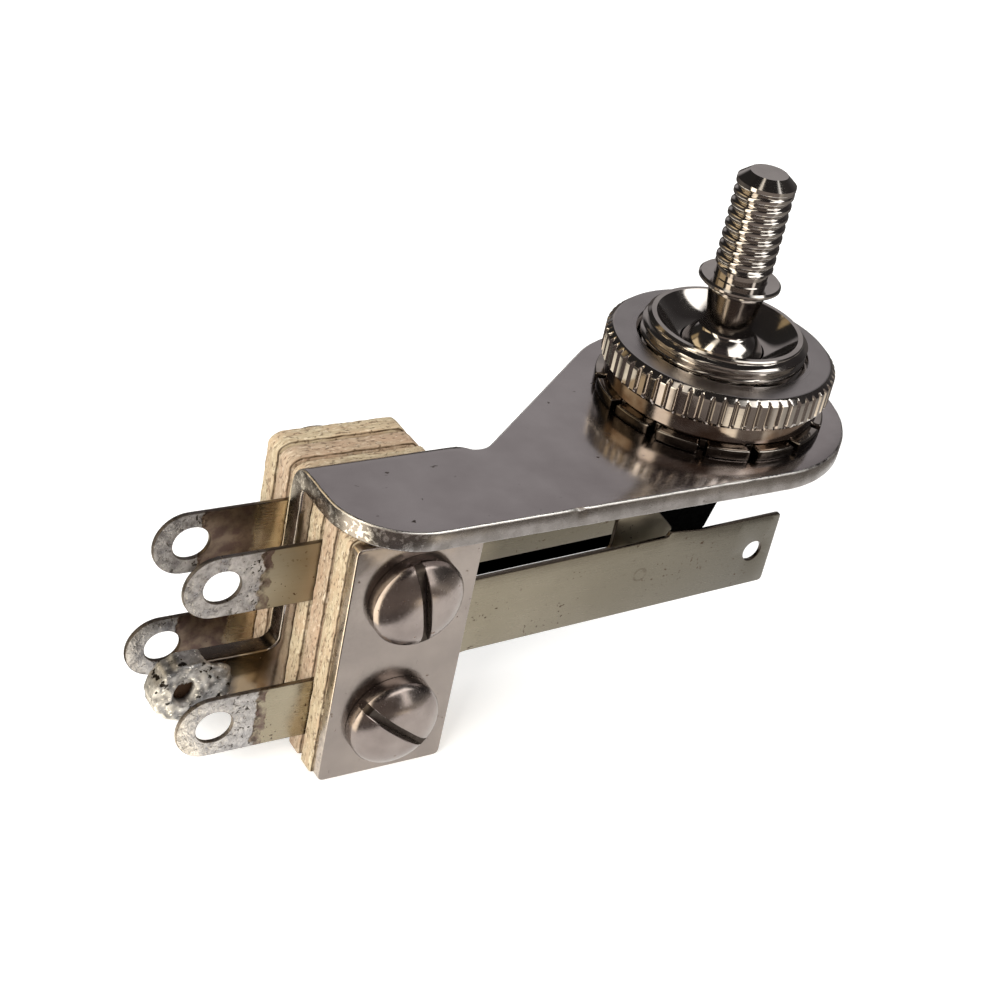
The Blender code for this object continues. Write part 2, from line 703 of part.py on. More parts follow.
def make_short_leaf(side):
    """Short stiff leaf in one piece: upper lug, clamped plate, narrow neck and wide contact end."""
    left, right, top, low = stack_outline()
    outline = [(right, low), (right, SHORT_BOTTOM)]
    outline += [(SHORT_TIP, SHORT_BOTTOM), (SHORT_TIP, SHORT_TOP - SHORT_CUT_Z)]
    outline += [(SHORT_TIP - SHORT_CUT_X, SHORT_TOP), (SHORT_HEAD_START, SHORT_TOP)]
    outline += [(SHORT_HEAD_START, SHORT_NECK_TOP), (right, SHORT_NECK_TOP), (right, top), (left, top)]
    outline += lug_outline(left, UPPER_LUG)
    outline += [(left, low)]
    name = f"{side}_short_leaf"
    mesh = flat_mesh(name, outline, leaf_holes(UPPER_LUG), LEAF_THICK)
    lean(mesh, SPRING_ROOT)
    stand(add_object(name, mesh, "nickel_silver"), 0, stack_y(side, "short"), 0)


def make_contacts(side):
    """Silver buttons that meet between the short leaf and the long spring."""
    outward = -1 if side == "front" else 1
    slope = (CONTACT_X - SPRING_ROOT) * math.tan(SPRING_SKEW)
    inner = stack_y(side, "short") + slope
    outer = stack_y(side, "long") + slope
    room = abs(outer - inner) - LEAF_THICK
    drift = CONTACT_RADIUS * math.tan(SPRING_SKEW)
    thick = (room - CONTACT_GAP) / 2 - drift - SEAT
    for layer, face, way in (("short", inner, outward), ("long", outer, -outward)):
        name = f"{side}_{layer}_contact"
        profile = [
            (0, thick),
            (CONTACT_RADIUS * 0.6, thick),
            (CONTACT_RADIUS, thick * 0.6),
            (CONTACT_RADIUS, 0),
            (0, 0),
        ]
        button = add_object(name, turned_mesh(name, profile, False, 20), "contact_silver")
        seat = face + way * (LEAF_THICK / 2 + drift + SEAT)
        stand(button, CONTACT_X, seat, CONTACT_Z, back=way > 0)


def make_sleeves(side):
    """Insulating tubes that keep the screws off the leaves."""
    inner = stack_y(side, "inner")
    outer = stack_y(side, "outer")
    length = abs(outer - inner) + INSULATOR_THICK
    half = length / 2
    profile = [(SLEEVE_RADIUS, half), (SLEEVE_RADIUS, -half), (SLEEVE_BORE, -half), (SLEEVE_BORE, half)]
    for place, height in SCREW_HEIGHTS.items():
        name = f"{side}_sleeve_{place}"
        sleeve = add_object(name, turned_mesh(name, profile, True, 24), "sleeve_board")
        stand(sleeve, STACK_X, (inner + outer) / 2, height)


def make_screws(side, turns, extra):
    """Round-head slotted screws from one clamp plate into the leg; extra is the washer under the head."""
    clamp = stack_y(side, "clamp")
    face = LEG_FRONT if side == "front" else LEG_BACK
    seat = abs(clamp - face) + CLAMP_THICK / 2 + SEAT + extra
    sphere = (SCREW_HEAD_RADIUS ** 2 + (SCREW_HEAD_HEIGHT - SCREW_RIM) ** 2)
    sphere /= 2 * (SCREW_HEAD_HEIGHT - SCREW_RIM)
    spread = math.asin(SCREW_HEAD_RADIUS / sphere)
    centre = SCREW_HEAD_HEIGHT - sphere
    quarter = math.pi / 2
    profile = [(abs(r), z) for r, z in arc((0, centre), sphere, quarter, quarter - spread, 8)]
    profile += [(SCREW_HEAD_RADIUS, 0), (SCREW_RADIUS, 0)]
    profile += [(SCREW_RADIUS, -seat - SCREW_BITE), (0, -seat - SCREW_BITE)]
    way = -1 if side == "front" else 1
    for (place, height), turn in zip(SCREW_HEIGHTS.items(), turns):
        name = f"{side}_screw_{place}"
        screw = add_object(name, turned_mesh(name, profile, False, 40), "screw_steel")
        stand(screw, STACK_X, face + way * seat, height, back=side == "back")
        slot_name = f"{side}_slot_{place}"
        long = 2 * SCREW_HEAD_RADIUS
        deep = SCREW_HEAD_HEIGHT - SCREW_SLOT_DEPTH
        low = (-long, -SCREW_SLOT_WIDTH / 2, deep)
        high = (long, SCREW_SLOT_WIDTH / 2, 2 * SCREW_HEAD_HEIGHT)
        blade = box_mesh(slot_name, low, high)
        cage = bmesh.new()
        cage.from_mesh(blade)
        spin = Matrix.Rotation(turn, 3, "Z")
        bmesh.ops.rotate(cage, verts=cage.verts, cent=(0, 0, 0), matrix=spin)
        cage.to_mesh(blade)
        cage.free()
        slot = add_object(slot_name, blade)
        stand(slot, STACK_X, face + way * seat, height, back=side == "back")
        cut(screw, slot)
        if extra:
            make_spring_washer(side, place, height, face + way * (seat - extra / 2))


def make_spring_washer(side, place, height, y):
    half = SPRING_WASHER_THICK / 2 - SEAT / 2
    inside = SCREW_RADIUS + 2 * SCREW_CLEARANCE
    profile = [(SPRING_WASHER_RADIUS, half), (SPRING_WASHER_RADIUS, -half), (inside, -half), (inside, half)]
    name = f"{side}_washer_{place}"
    stand(add_object(name, turned_mesh(name, profile, True, 32), "screw_steel"), STACK_X, y, height)


clear_scene()
parts = new_collection("pickup_selector_switch")
cutters = new_collection("cutters")
make_frame()
make_bushing()
make_retaining_ring()
make_lock_washer()
make_nut()
make_lever()
make_paddle()
for stack_side in ("front", "back"):
    make_insulators(stack_side)
    make_clamp(stack_side)
    make_short_leaf(stack_side)
    make_long_leaf(stack_side)
    make_contacts(stack_side)
    make_sleeves(stack_side)
make_screws("front", (math.radians(-78), math.radians(-38)), 0)
make_screws("back", (math.radians(20), math.radians(65)), SPRING_WASHER_THICK)
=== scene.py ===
import math

import bmesh
import bpy
import numpy as np
from mathutils import Matrix
from mathutils.geometry import delaunay_2d_cdt


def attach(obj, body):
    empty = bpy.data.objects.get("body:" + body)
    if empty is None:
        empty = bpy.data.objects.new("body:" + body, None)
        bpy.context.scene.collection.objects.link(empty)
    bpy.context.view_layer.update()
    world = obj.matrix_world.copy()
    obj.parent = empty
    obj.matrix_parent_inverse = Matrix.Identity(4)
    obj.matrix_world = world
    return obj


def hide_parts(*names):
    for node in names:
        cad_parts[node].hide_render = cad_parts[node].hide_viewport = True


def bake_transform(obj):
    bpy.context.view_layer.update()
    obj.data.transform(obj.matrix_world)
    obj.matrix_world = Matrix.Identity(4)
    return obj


mm = 0.001
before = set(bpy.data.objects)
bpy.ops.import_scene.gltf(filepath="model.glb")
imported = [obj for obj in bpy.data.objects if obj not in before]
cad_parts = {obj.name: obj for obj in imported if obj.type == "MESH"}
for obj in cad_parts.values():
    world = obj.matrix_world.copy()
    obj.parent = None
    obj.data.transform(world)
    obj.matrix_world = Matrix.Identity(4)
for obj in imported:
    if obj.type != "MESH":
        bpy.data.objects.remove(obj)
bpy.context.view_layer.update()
fixedBody = "switch_frame"
leverBody = "lever_arm"
print("frame loaded:", len(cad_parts), "nodes")


def arcPoints(centre, radius, start, end, count):
    # points on a circle: centre + radius * (cos, sin) of evenly spaced angles in degrees
    a = np.radians(np.linspace(start, end, count + 1))
    return np.stack([centre[0] + radius * np.cos(a), centre[1] + radius * np.sin(a)], axis=1)


def circle(centre, radius, count):
    return arcPoints(centre, radius, 0, 360, count)[:-1]


def quadratic(start, bend, end, t):
    # at share t: (1 - t) squared of start, 2 t (1 - t) of the bend and t squared of end
    return (1 - t) ** 2 * start + 2 * t * (1 - t) * bend + t ** 2 * end


def roundCorners(points, radius, count=3):
    # each corner becomes a quadratic curve between the points `radius` away along its two sides
    p = np.asarray(points, float)
    before = np.roll(p, 1, axis=0) - p
    after = np.roll(p, -1, axis=0) - p
    lenBefore = np.linalg.norm(before, axis=1)[:, None]
    lenAfter = np.linalg.norm(after, axis=1)[:, None]
    reach = np.minimum(radius, 0.45 * np.minimum(lenBefore, lenAfter))
    a = p + before / lenBefore * reach
    b = p + after / lenAfter * reach
    t = np.linspace(0, 1, count + 1)[None, :, None]
    return quadratic(a[:, None], p[:, None], b[:, None], t).reshape(-1, 2)


def dense(points, step, closed=True):
    # extra points along each side so that no side is longer than step
    p = np.asarray(points, float)
    q = np.roll(p, -1, axis=0) if closed else p[1:]
    p0 = p if closed else p[:-1]
    counts = np.maximum(1, np.ceil(np.linalg.norm(q - p0, axis=1) / step).astype(int))
    rows = [a + (b - a) * (np.arange(n) / n)[:, None] for a, b, n in zip(p0, q, counts)]
    out = np.concatenate(rows)
    return out if closed else np.vstack([out, p[-1]])


def gridFaces(rows, cols, closeRows=False, closeCols=True):
    # quads between neighbouring rows and columns of a grid stored row after row
    r = np.arange(rows if closeRows else rows - 1)
    c = np.arange(cols if closeCols else cols - 1)
    r0, c0 = np.meshgrid(r, c, indexing="ij")
    r1 = (r0 + 1) % rows
    c1 = (c0 + 1) % cols
    quads = np.stack([r0 * cols + c0, r0 * cols + c1, r1 * cols + c1, r1 * cols + c0], axis=-1)
    return quads.reshape(-1, 4)


def waves(points, size, seed, count=7):
    # a sum of sine waves in seeded directions, about -1 to 1, with lumps roughly `size` across
    rng = np.random.default_rng(seed)
    direction = rng.normal(size=(count, points.shape[-1]))
    direction /= np.linalg.norm(direction, axis=1)[:, None]
    rate = 2 * np.pi / (size * rng.uniform(0.7, 1.6, count))
    shift = rng.uniform(0, 2 * np.pi, count)
    return np.sin(points @ (direction * rate[:, None]).T + shift).sum(axis=-1) / math.sqrt(count)


def addObject(name, data):
    thing = bpy.data.objects.new(name, data)
    bpy.context.scene.collection.objects.link(thing)
    return thing


def putMesh(name, verts, faces, material, body, nodes=(), rim=None, sharp=35, ride=True):
    # verts in millimetres; faces are turned outwards, seams merged, and the piece rides on its body
    mesh = bpy.data.meshes.new(name)
    mesh.from_pydata((np.asarray(verts) * mm).tolist(), [], [list(f) for f in faces])
    if rim is not None:
        layer = mesh.attributes.new("rim", "FLOAT", "POINT")
        layer.data.foreach_set("value", np.asarray(rim, np.float32))
    cage = bmesh.new()
    cage.from_mesh(mesh)
    bmesh.ops.remove_doubles(cage, verts=cage.verts, dist=2e-7)
    bmesh.ops.dissolve_degenerate(cage, edges=cage.edges, dist=1e-8)
    bmesh.ops.recalc_face_normals(cage, faces=cage.faces)
    cage.to_mesh(mesh)
    cage.free()
    mesh.shade_smooth()
    mesh.set_sharp_from_angle(angle=math.radians(sharp))
    mesh.materials.append(material)
    piece = addObject(name, mesh)
    if ride:
        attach(piece, body)
    if nodes:
        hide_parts(*nodes)
    return piece


def lathe(profile, sides, radial=None):
    # the closed profile (radius, height) carried round Z: x = r cos a, y = r sin a; radial(r, z, a) changes r
    p = np.asarray(profile, float)
    a = np.linspace(0, 2 * np.pi, sides, endpoint=False)
    r = np.repeat(p[:, 0][:, None], sides, axis=1)
    z = np.repeat(p[:, 1][:, None], sides, axis=1)
    angle = np.repeat(a[None, :], len(p), axis=0)
    if radial:
        r = radial(r, z, angle)
    verts = np.stack([r * np.cos(angle), r * np.sin(angle), z], axis=-1).reshape(-1, 3)
    return verts, gridFaces(len(p), sides, closeRows=True)


def threadDepth(z, angle, pitch, depth, crest=0.22, flank=0.72):
    # how far the helix z = pitch * angle / turn is cut in: broad crest, then depth * sin squared to the root
    phase = (z / pitch - angle / (2 * np.pi)) % 1.0
    away = np.abs(2 * phase - 1)
    cut = np.clip((away - crest) / flank, 0, 1)
    return depth * np.sin(cut * np.pi / 2) ** 2


def inwardTurn(loop):
    # at each point, the inward step that moves both of its sides by one
    def normal(side):
        length = np.maximum(np.linalg.norm(side, axis=1), 1e-9)
        return np.stack([-side[:, 1], side[:, 0]], axis=1) / length[:, None]

    both = normal(loop - np.roll(loop, 1, axis=0)) + normal(np.roll(loop, -1, axis=0) - loop)
    return both / np.maximum(np.sum(both * both, axis=1) / 2, 0.3)[:, None]


def sheet(outline, holes, thick, edge, inner=None, steps=3):
    # a flat piece: both flats are filled between its loops, and each loop's rim is a rounded band that at
    # angle t lies edge * (1 - sin t) inside the loop and edge * (1 - cos t) below the flat
    loops = [np.asarray(outline, float)] + [np.asarray(h, float)[::-1] for h in holes]
    turn = np.linspace(0, np.pi / 2, steps + 1)
    inset = edge * (1 - np.sin(turn))
    high = thick / 2 - edge * (1 - np.cos(turn))
    inset = np.concatenate([inset, inset[::-1]])
    high = np.concatenate([high, -high[::-1]])
    verts, faces, rim, tops, bottoms, start = [], [], [], [], [], 0
    for loop in loops:
        ring = loop[None] + inwardTurn(loop)[None] * inset[:, None, None]
        layer = np.concatenate([ring, np.repeat(high[:, None, None], len(loop), axis=1)], axis=2)
        verts.append(layer.reshape(-1, 3))
        faces += (gridFaces(len(inset), len(loop)) + start).tolist()
        rim.append(np.repeat(np.sin(np.concatenate([turn, turn[::-1]])), len(loop)))
        tops.append(start + np.arange(len(loop)))
        bottoms.append(start + (len(inset) - 1) * len(loop) + np.arange(len(loop)))
        start += len(inset) * len(loop)
    verts = np.concatenate(verts)
    extra = np.zeros((0, 2)) if inner is None else np.asarray(inner, float)
    for ids, height in ((tops, thick / 2), (bottoms, -thick / 2)):
        flatIds = np.concatenate(ids)
        places = np.concatenate([verts[flatIds][:, :2], extra])
        borders, at = [], 0
        for loopIds in ids:
            borders.append(list(range(at, at + len(loopIds))))
            at += len(loopIds)
        out = delaunay_2d_cdt([tuple(p) for p in places], [], borders, 2, 1e-6)
        newIds = []
        for spot, origin in zip(out[0], out[3]):
            first = origin[0] if origin else -1
            if 0 <= first < len(flatIds):
                newIds.append(int(flatIds[first]))
            else:
                newIds.append(start)
                verts = np.vstack([verts, [spot[0], spot[1], height]])
                rim.append(np.zeros(1))
                start += 1
        faces += [[newIds[i] for i in face] for face in out[2]]
    return verts, faces, np.concatenate(rim)


def upright(verts, yMid):
    # stands a flat piece up: its plane becomes XZ at yMid and its top side faces forward
    return np.stack([verts[:, 0], yMid - verts[:, 2], verts[:, 1]], axis=1)


def nodeAdder(tree):
    # a function that adds a shader node, sets it up, and fills or links its inputs
    def add(kind, inputs=None, **settings):
        node = tree.nodes.new("ShaderNode" + kind)
        for key, value in settings.items():
            setattr(node, key, value)
        for key, value in (inputs or {}).items():
            if isinstance(value, bpy.types.NodeSocket):
                tree.links.new(value, node.inputs[key])
            else:
                node.inputs[key].default_value = value
        return node

    return add


def startMaterial(name, metal=0.0):
    # the material, its shader, a function that adds nodes and one that feeds the shader
    material = bpy.data.materials.new(name)
    material.use_nodes = True
    tree = material.node_tree
    shader = tree.nodes["Principled BSDF"]
    shader.inputs["Metallic"].default_value = metal

    def feed(socket, value):
        tree.links.new(value, shader.inputs[socket])

    return material, shader, nodeAdder(tree), feed


def place(add, stretch=(1, 1, 1)):
    # Object coordinates, stretched so that a pattern runs along an axis
    coords = add("TexCoord")
    return add("Mapping", {"Vector": coords.outputs["Object"], "Scale": stretch}).outputs[0]


def axes(add):
    parts = add("SeparateXYZ", {0: place(add)})
    return parts.outputs[0], parts.outputs[1], parts.outputs[2]


def noise(add, size, detail=4.0, stretch=(1, 1, 1), rough=0.55, twist=0.0):
    # noise with features about `size` millimetres across
    inputs = {"Vector": place(add, stretch), "Scale": 1000.0 / size, "Detail": detail, "Roughness": rough,
              "Distortion": twist}
    return add("TexNoise", inputs).outputs["Fac"]


def between(add, value, low, high, outLow=0.0, outHigh=1.0):
    # value mapped from low..high to outLow..outHigh, held at both ends
    inputs = {"Value": value, "From Min": low, "From Max": high, "To Min": outLow, "To Max": outHigh}
    return add("MapRange", inputs).outputs["Result"]


def along(add, axis, ends, outLow=0.0, outHigh=1.0):
    # the same along an axis, between two places in millimetres
    return between(add, axis, ends[0] * mm, ends[1] * mm, outLow, outHigh)


def around(add, pattern, middle, spread):
    return between(add, pattern, 0.3, 0.7, middle - spread, middle + spread)


def mixColour(add, factor, first, second):
    # two tones, each a socket or (red, green, blue), mixed by the factor
    tones = [(*tone, 1.0) if isinstance(tone, tuple) else tone for tone in (first, second)]
    return add("Mix", {0: factor, 6: tones[0], 7: tones[1]}, data_type="RGBA").outputs[2]


def twoTones(add, pattern, low, high, look):
    return mixColour(add, between(add, pattern, low, high), look["dark"], look["light"])


def maths(add, operation, first, second=0.0):
    return add("Math", {0: first, 1: second}, operation=operation).outputs[0]


def times(add, first, second):
    return maths(add, "MULTIPLY", first, second)


def plus(add, first, second):
    return maths(add, "ADD", first, second)


def minus(add, first, second):
    return maths(add, "SUBTRACT", first, second)


def rimMask(add):
    return add("Attribute", attribute_name="rim").outputs["Fac"]


def bump(add, feed, height, reach, strength=1.0):
    # a height pattern whose unit is `reach` metres
    inputs = {"Height": height, "Distance": reach, "Strength": strength}
    feed("Normal", add("Bump", inputs).outputs["Normal"])


def platedMetal(name, look):
    # plated metal: two tones in soft blotches, fine grain in the roughness, specks, and a ragged tone on the
    # marked rim: darker cut edges on the frame, a painted highlight along the clamps' edges, painted shade on
    # the screws' slot floors, darker edges on the washer
    material, _, add, feed = startMaterial(name, 1.0)
    x, _, z = axes(add)
    tone = twoTones(add, noise(add, look["blotch"], 3.0), 0.35, 0.65, look)
    grain = noise(add, look["grain"], 5.0, look.get("stretch", (1, 1, 1)))
    rough = around(add, grain, look["rough"], look["vary"])
    dots = between(add, noise(add, look["speckSize"], 2.0), 0.73 - look["specks"], 0.76)
    tone = mixColour(add, dots, tone, look["speck"])
    rough = plus(add, rough, times(add, dots, 0.25))
    rimTone = look["rim"]
    if "flux" in look:                                   # browned and crusted towards the soldered lug; the rim also darker lower down the leg
        rimTone = mixColour(add, along(add, z, look["lowReach"]), look["rim"], look["lowRim"])
        reach = plus(add, x, times(add, noise(add, 1.2, 3.0), 0.0012))
        tone = mixColour(add, along(add, reach, look["fluxReach"]), tone, look["flux"])
        fleck = between(add, noise(add, 0.4, 3.0), 0.53, 0.58)
        fleck = times(add, fleck, along(add, reach, look["fleckReach"]))
        fleck = times(add, fleck, along(add, z, look["fleckRise"]))
        rimTone = mixColour(add, fleck, rimTone, look["fleck"])
        tone = mixColour(add, along(add, reach, look["crustReach"]), tone, look["crust"])
    # the rim tone: painted highlight on the clamps' edges, painted shade on the screws' slot floors
    ragged = between(add, noise(add, look["rimGrain"], 3.0), 0.3, 0.62, look["rimLow"], 1.0)
    ragged = times(add, between(add, rimMask(add), 0.6, 0.95), ragged)
    tone = mixColour(add, ragged, tone, rimTone)
    rough = plus(add, rough, times(add, ragged, look["rimRough"]))
    if "crest" in look:                                  # painted highlight: a bright, rougher line where the edge turns over, on the plate's top side only
        crest = times(add, between(add, rimMask(add), 0.03, 0.25), between(add, rimMask(add), 0.98, 0.85))
        crest = times(add, crest, between(add, noise(add, 1.3, 4.0), 0.36, 0.46, 0.25, 1.0))
        crest = times(add, crest, along(add, z, look["crestRise"]))
        tone = mixColour(add, crest, tone, look["crest"])
        rough = plus(add, rough, times(add, crest, 0.17))
    feed("Base Color", tone)
    feed("Roughness", rough)
    height = times(add, grain, look["bump"])
    if "dents" in look:
        height = plus(add, height, times(add, noise(add, look["dentSize"], 2.0), look["dents"]))
    bump(add, feed, height, 0.0001)
    return material


def turnedMetal(name, look):
    # lathe-turned metal: fine rings round the Z axis in the bump and the roughness
    material, _, add, feed = startMaterial(name, 1.0)
    x, y, z = axes(add)
    radius = maths(add, "SQRT", plus(add, maths(add, "POWER", x, 2.0), maths(add, "POWER", y, 2.0)))
    section = add("CombineXYZ", {0: radius, 1: z, 2: 0.0}).outputs[0]
    rings = {"Vector": section, "Scale": 1000.0 / look["ringSize"], "Detail": 4.0}
    rings = add("TexNoise", rings).outputs["Fac"]
    blotch = noise(add, look["blotch"], 3.0)
    tone = twoTones(add, blotch, 0.35, 0.65, look)
    if "tarnish" in look:                                # painted shade: the recessed hub below this height, under the knurl, darkened and browned in blotches
        browned = along(add, z, (look["tarnishTop"] - 0.15, look["tarnishTop"]), 1.0, 0.0)
        browned = times(add, browned, between(add, noise(add, 2.2, 3.0), 0.38, 0.6, 0.35, 1.0))
        tone = mixColour(add, browned, tone, look["tarnish"])
    feed("Base Color", tone)
    feed("Roughness", between(add, plus(add, rings, times(add, blotch, 0.4)), 0.4, 1.0,
                              look["rough"] - look["vary"], look["rough"] + look["vary"]))
    ripples = times(add, noise(add, 0.5, 3.0), look["bump"] * 0.6)
    bump(add, feed, plus(add, times(add, rings, look["bump"]), ripples), 0.0001)
    return material


# frameLook's crest tone is a painted highlight along the plate's upper rounded edge
frameLook = {
    "dark": (0.43, 0.4, 0.4), "light": (0.52, 0.49, 0.49), "blotch": 6.0, "grain": 0.25,
    "stretch": (0.35, 1.0, 1.0), "rough": 0.16, "vary": 0.035, "bump": 0.008, "dents": 0.1,
    "dentSize": 5.0, "specks": 0.02, "speckSize": 0.9, "speck": (0.13, 0.11, 0.1),
    "rim": (0.2, 0.185, 0.175), "rimRough": 0.12, "rimGrain": 1.1, "rimLow": 0.7,
    "lowRim": (0.06, 0.047, 0.038), "lowReach": (-2.4, -3.4), "flux": (0.3, 0.235, 0.16),
    "fluxReach": (-32.6, -33.4), "crust": (0.12, 0.1, 0.085), "crustReach": (-35.2, -35.8),
    "fleck": (0.6, 0.59, 0.58), "fleckReach": (-27.5, -29.5), "fleckRise": (-2.2, -1.6),
    "crest": (0.97, 0.95, 0.93), "crestRise": (-0.9, -0.5),
}
# clampLook's rim tone is a painted highlight: the clamps' rounded edges are coloured far lighter than their
# faces
clampLook = {
    "dark": (0.29, 0.255, 0.235), "light": (0.37, 0.325, 0.295), "blotch": 5.0, "grain": 0.3,
    "rough": 0.22, "vary": 0.04, "bump": 0.008, "dents": 0.12, "dentSize": 5.0, "specks": 0.01,
    "speckSize": 0.6, "speck": (0.2, 0.16, 0.13), "rim": (0.72, 0.64, 0.56), "rimRough": 0.1,
    "rimGrain": 0.4, "rimLow": 0.4,
}
brightLook = {
    "dark": (0.47, 0.44, 0.42), "light": (0.57, 0.54, 0.51), "blotch": 3.0, "ringSize": 0.18,
    "rough": 0.1, "vary": 0.035, "bump": 0.012,
}
satinTopLook = {
    "dark": (0.40, 0.38, 0.38), "light": (0.46, 0.44, 0.44), "blotch": 3.0, "ringSize": 0.1, "rough": 0.3,
    "vary": 0.05, "bump": 0.03,
}
# screwLook's rim tone paints the slot floor near black: painted shade in the slot
screwLook = {
    "dark": (0.27, 0.23, 0.215), "light": (0.35, 0.305, 0.285), "blotch": 2.5, "grain": 0.2,
    "rough": 0.23, "vary": 0.05, "bump": 0.015, "specks": 0.02, "speckSize": 0.5,
    "speck": (0.2, 0.13, 0.09), "rim": (0.05, 0.04, 0.033), "rimRough": 0.1, "rimGrain": 0.4,
    "rimLow": 0.9,
}
washerLook = dict(screwLook, dark=(0.26, 0.24, 0.225), light=(0.5, 0.46, 0.42), rough=0.1)
plated = platedMetal("satin_nickel_sheet", frameLook)
clampMetal = platedMetal("dull_nickel_clamp", clampLook)
brightMetal = turnedMetal("bright_nickel_turned", brightLook)
satinTop = turnedMetal("satin_nut_face", satinTopLook)
# the nut's hub below the knurl gets painted shade
nutMetal = turnedMetal("bright_nickel_nut", dict(brightLook, tarnishTop=2.36, tarnish=(0.24, 0.175, 0.135)))
screwMetal = platedMetal("nickel_screw", screwLook)
washerMetal = platedMetal("nickel_washer", washerLook)


def leafMaterial(name, look):
    # rolled nickel silver that darkens along the arm; the lug's tip is tinned, with burnt flux at the border
    material, shader, add, feed = startMaterial(name, 1.0)
    x, y, z = axes(add)
    streaks = noise(add, 0.2, 3.0, (0.08, 1.0, 1.0))
    cloud = noise(add, 6.0, 3.0)
    base = twoTones(add, plus(add, times(add, streaks, 0.25), times(add, cloud, 0.75)), 0.38, 0.62, look)
    base = mixColour(add, along(add, x, look["fade"]), base, look["far"])
    dots = between(add, noise(add, 0.3, 2.0), look["dots"], look["dots"] + 0.03)
    dots = times(add, dots, between(add, noise(add, 3.5, 2.0), 0.42, 0.56))
    base = mixColour(add, dots, base, look["dotTone"])
    if "shade" in look:                                  # painted shade: a near-black band low on the arm's inner face, with the leaf's specular tint darkened
        shade = along(add, z, (look["shade"], look["shade"] + 0.35), 1.0, 0.0)
        shade = times(add, shade, along(add, x, (-24.0, -23.0)))
        lean = maths(add, "MAXIMUM", minus(add, x, leafParts["root"] * mm))
        lean = times(add, lean, math.tan(math.radians(leafParts["lean"])))
        middle = stackY("back", "long")
        shade = times(add, shade, along(add, minus(add, y, lean), (middle - 0.1, middle + 0.1), 1, 0))
        base = mixColour(add, shade, base, look["shadeTone"])
        shader.inputs["Specular Tint"].default_value = (0.1, 0.1, 0.1, 1)
    if "weld" in look:                                   # faint ring left by the contact's weld
        weldX = minus(add, x, look["weld"][0] * mm)
        weldZ = minus(add, z, look["weld"][1] * mm)
        apart = maths(add, "SQRT", plus(add, times(add, weldX, weldX), times(add, weldZ, weldZ)))
        apart = maths(add, "ABSOLUTE", minus(add, apart, look["weldRadius"] * mm))
        ring = times(add, along(add, apart, (0.06, 0.12), 0.55, 0.0), between(add, streaks, 0.3, 0.55))
        base = mixColour(add, ring, base, look["weldTone"])
    reach = plus(add, x, times(add, noise(add, 0.9, 3.0), 0.0011))
    edge = look["tinEdge"]
    tin = along(add, reach, (edge, edge + 0.12), 1.0, 0.0)
    stain = along(add, reach, (edge + look["stain"] * 0.92, edge + look["stain"]), 1.0, 0.0)
    stain = times(add, stain, between(add, noise(add, 0.8, 4.0), 0.38, 0.62, look["stainLow"], 1.0))
    base = mixColour(add, stain, base, look["stainTone"])
    crust = along(add, reach, (edge, edge + 0.55), 1.0, 0.0)
    crust = times(add, crust, between(add, noise(add, 0.35, 3.0), 0.47, 0.55))
    base = mixColour(add, crust, base, look["crustTone"])
    patch = noise(add, 0.8, 5.0, rough=0.65)
    tinned = mixColour(add, between(add, patch, 0.38, 0.6), look["tinDark"], look["tinLight"])
    pits = between(add, noise(add, 0.32, 3.0), 0.6, 0.64)
    nearEdge = along(add, reach, (edge - 2.6, edge - 0.2), 0.35, 1.0)
    pits = times(add, times(add, pits, nearEdge), look["pits"])
    tinned = mixColour(add, pits, tinned, look["pitTone"])
    # painted shade: the leaf's rounded edges darkened towards the rim tone
    rim = times(add, between(add, rimMask(add), 0.02, 0.3), look["edgeShadeShare"])
    feed("Base Color", mixColour(add, rim, mixColour(add, tin, base, tinned), look["rimTone"]))
    leafRough = around(add, streaks, look["rough"], 0.05)
    tinRough = between(add, patch, 0.3, 0.7, 0.24, 0.44)
    rough = add("Mix", {0: tin, 2: leafRough, 3: tinRough}, data_type="FLOAT").outputs[0]
    feed("Roughness", plus(add, rough, times(add, stain, 0.18)))
    lumps = times(add, plus(add, patch, times(add, pits, -0.6)), tin)
    height = plus(add, times(add, lumps, look["lumps"]), times(add, streaks, 0.006))
    bump(add, feed, plus(add, height, times(add, plus(add, stain, crust), 0.04)), 0.0004)
    return material


def boardMaterial(name, look):
    # pressed paper board: tan fibres lying in the sheet, pink patches, dark and pale flecks, browned rims
    material, shader, add, feed = startMaterial(name)
    fibres = noise(add, 0.7, 6.0, (0.5, 2.2, 0.5), 0.7, 0.6)
    base = twoTones(add, fibres, 0.34, 0.64, look)
    pink = between(add, noise(add, 1.5, 4.0, (0.6, 2.0, 0.6)), 0.44, 0.6, 0.0, 0.8)
    base = mixColour(add, pink, base, look["pink"])
    flecks = between(add, noise(add, 0.26, 3.0, (0.7, 1.3, 0.7)), 0.57, 0.63, 0.0, 0.8)
    base = mixColour(add, flecks, base, look["fleck"])
    pale = between(add, noise(add, 0.3, 3.0, (0.6, 1.5, 0.6), 0.6, 0.4), 0.55, 0.66, 0.0, 0.55)
    base = mixColour(add, pale, base, look["pale"])
    joint = times(add, between(add, rimMask(add), 0.01, 0.05), between(add, rimMask(add), 0.75, 0.5))
    worn = times(add, joint, between(add, noise(add, 0.9, 3.0), 0.35, 0.6, 0.6, 1.0))
    feed("Base Color", mixColour(add, worn, base, look["edge"]))
    shader.inputs["Roughness"].default_value = 0.7
    bump(add, feed, plus(add, fibres, times(add, flecks, -0.4)), 0.00008)
    return material


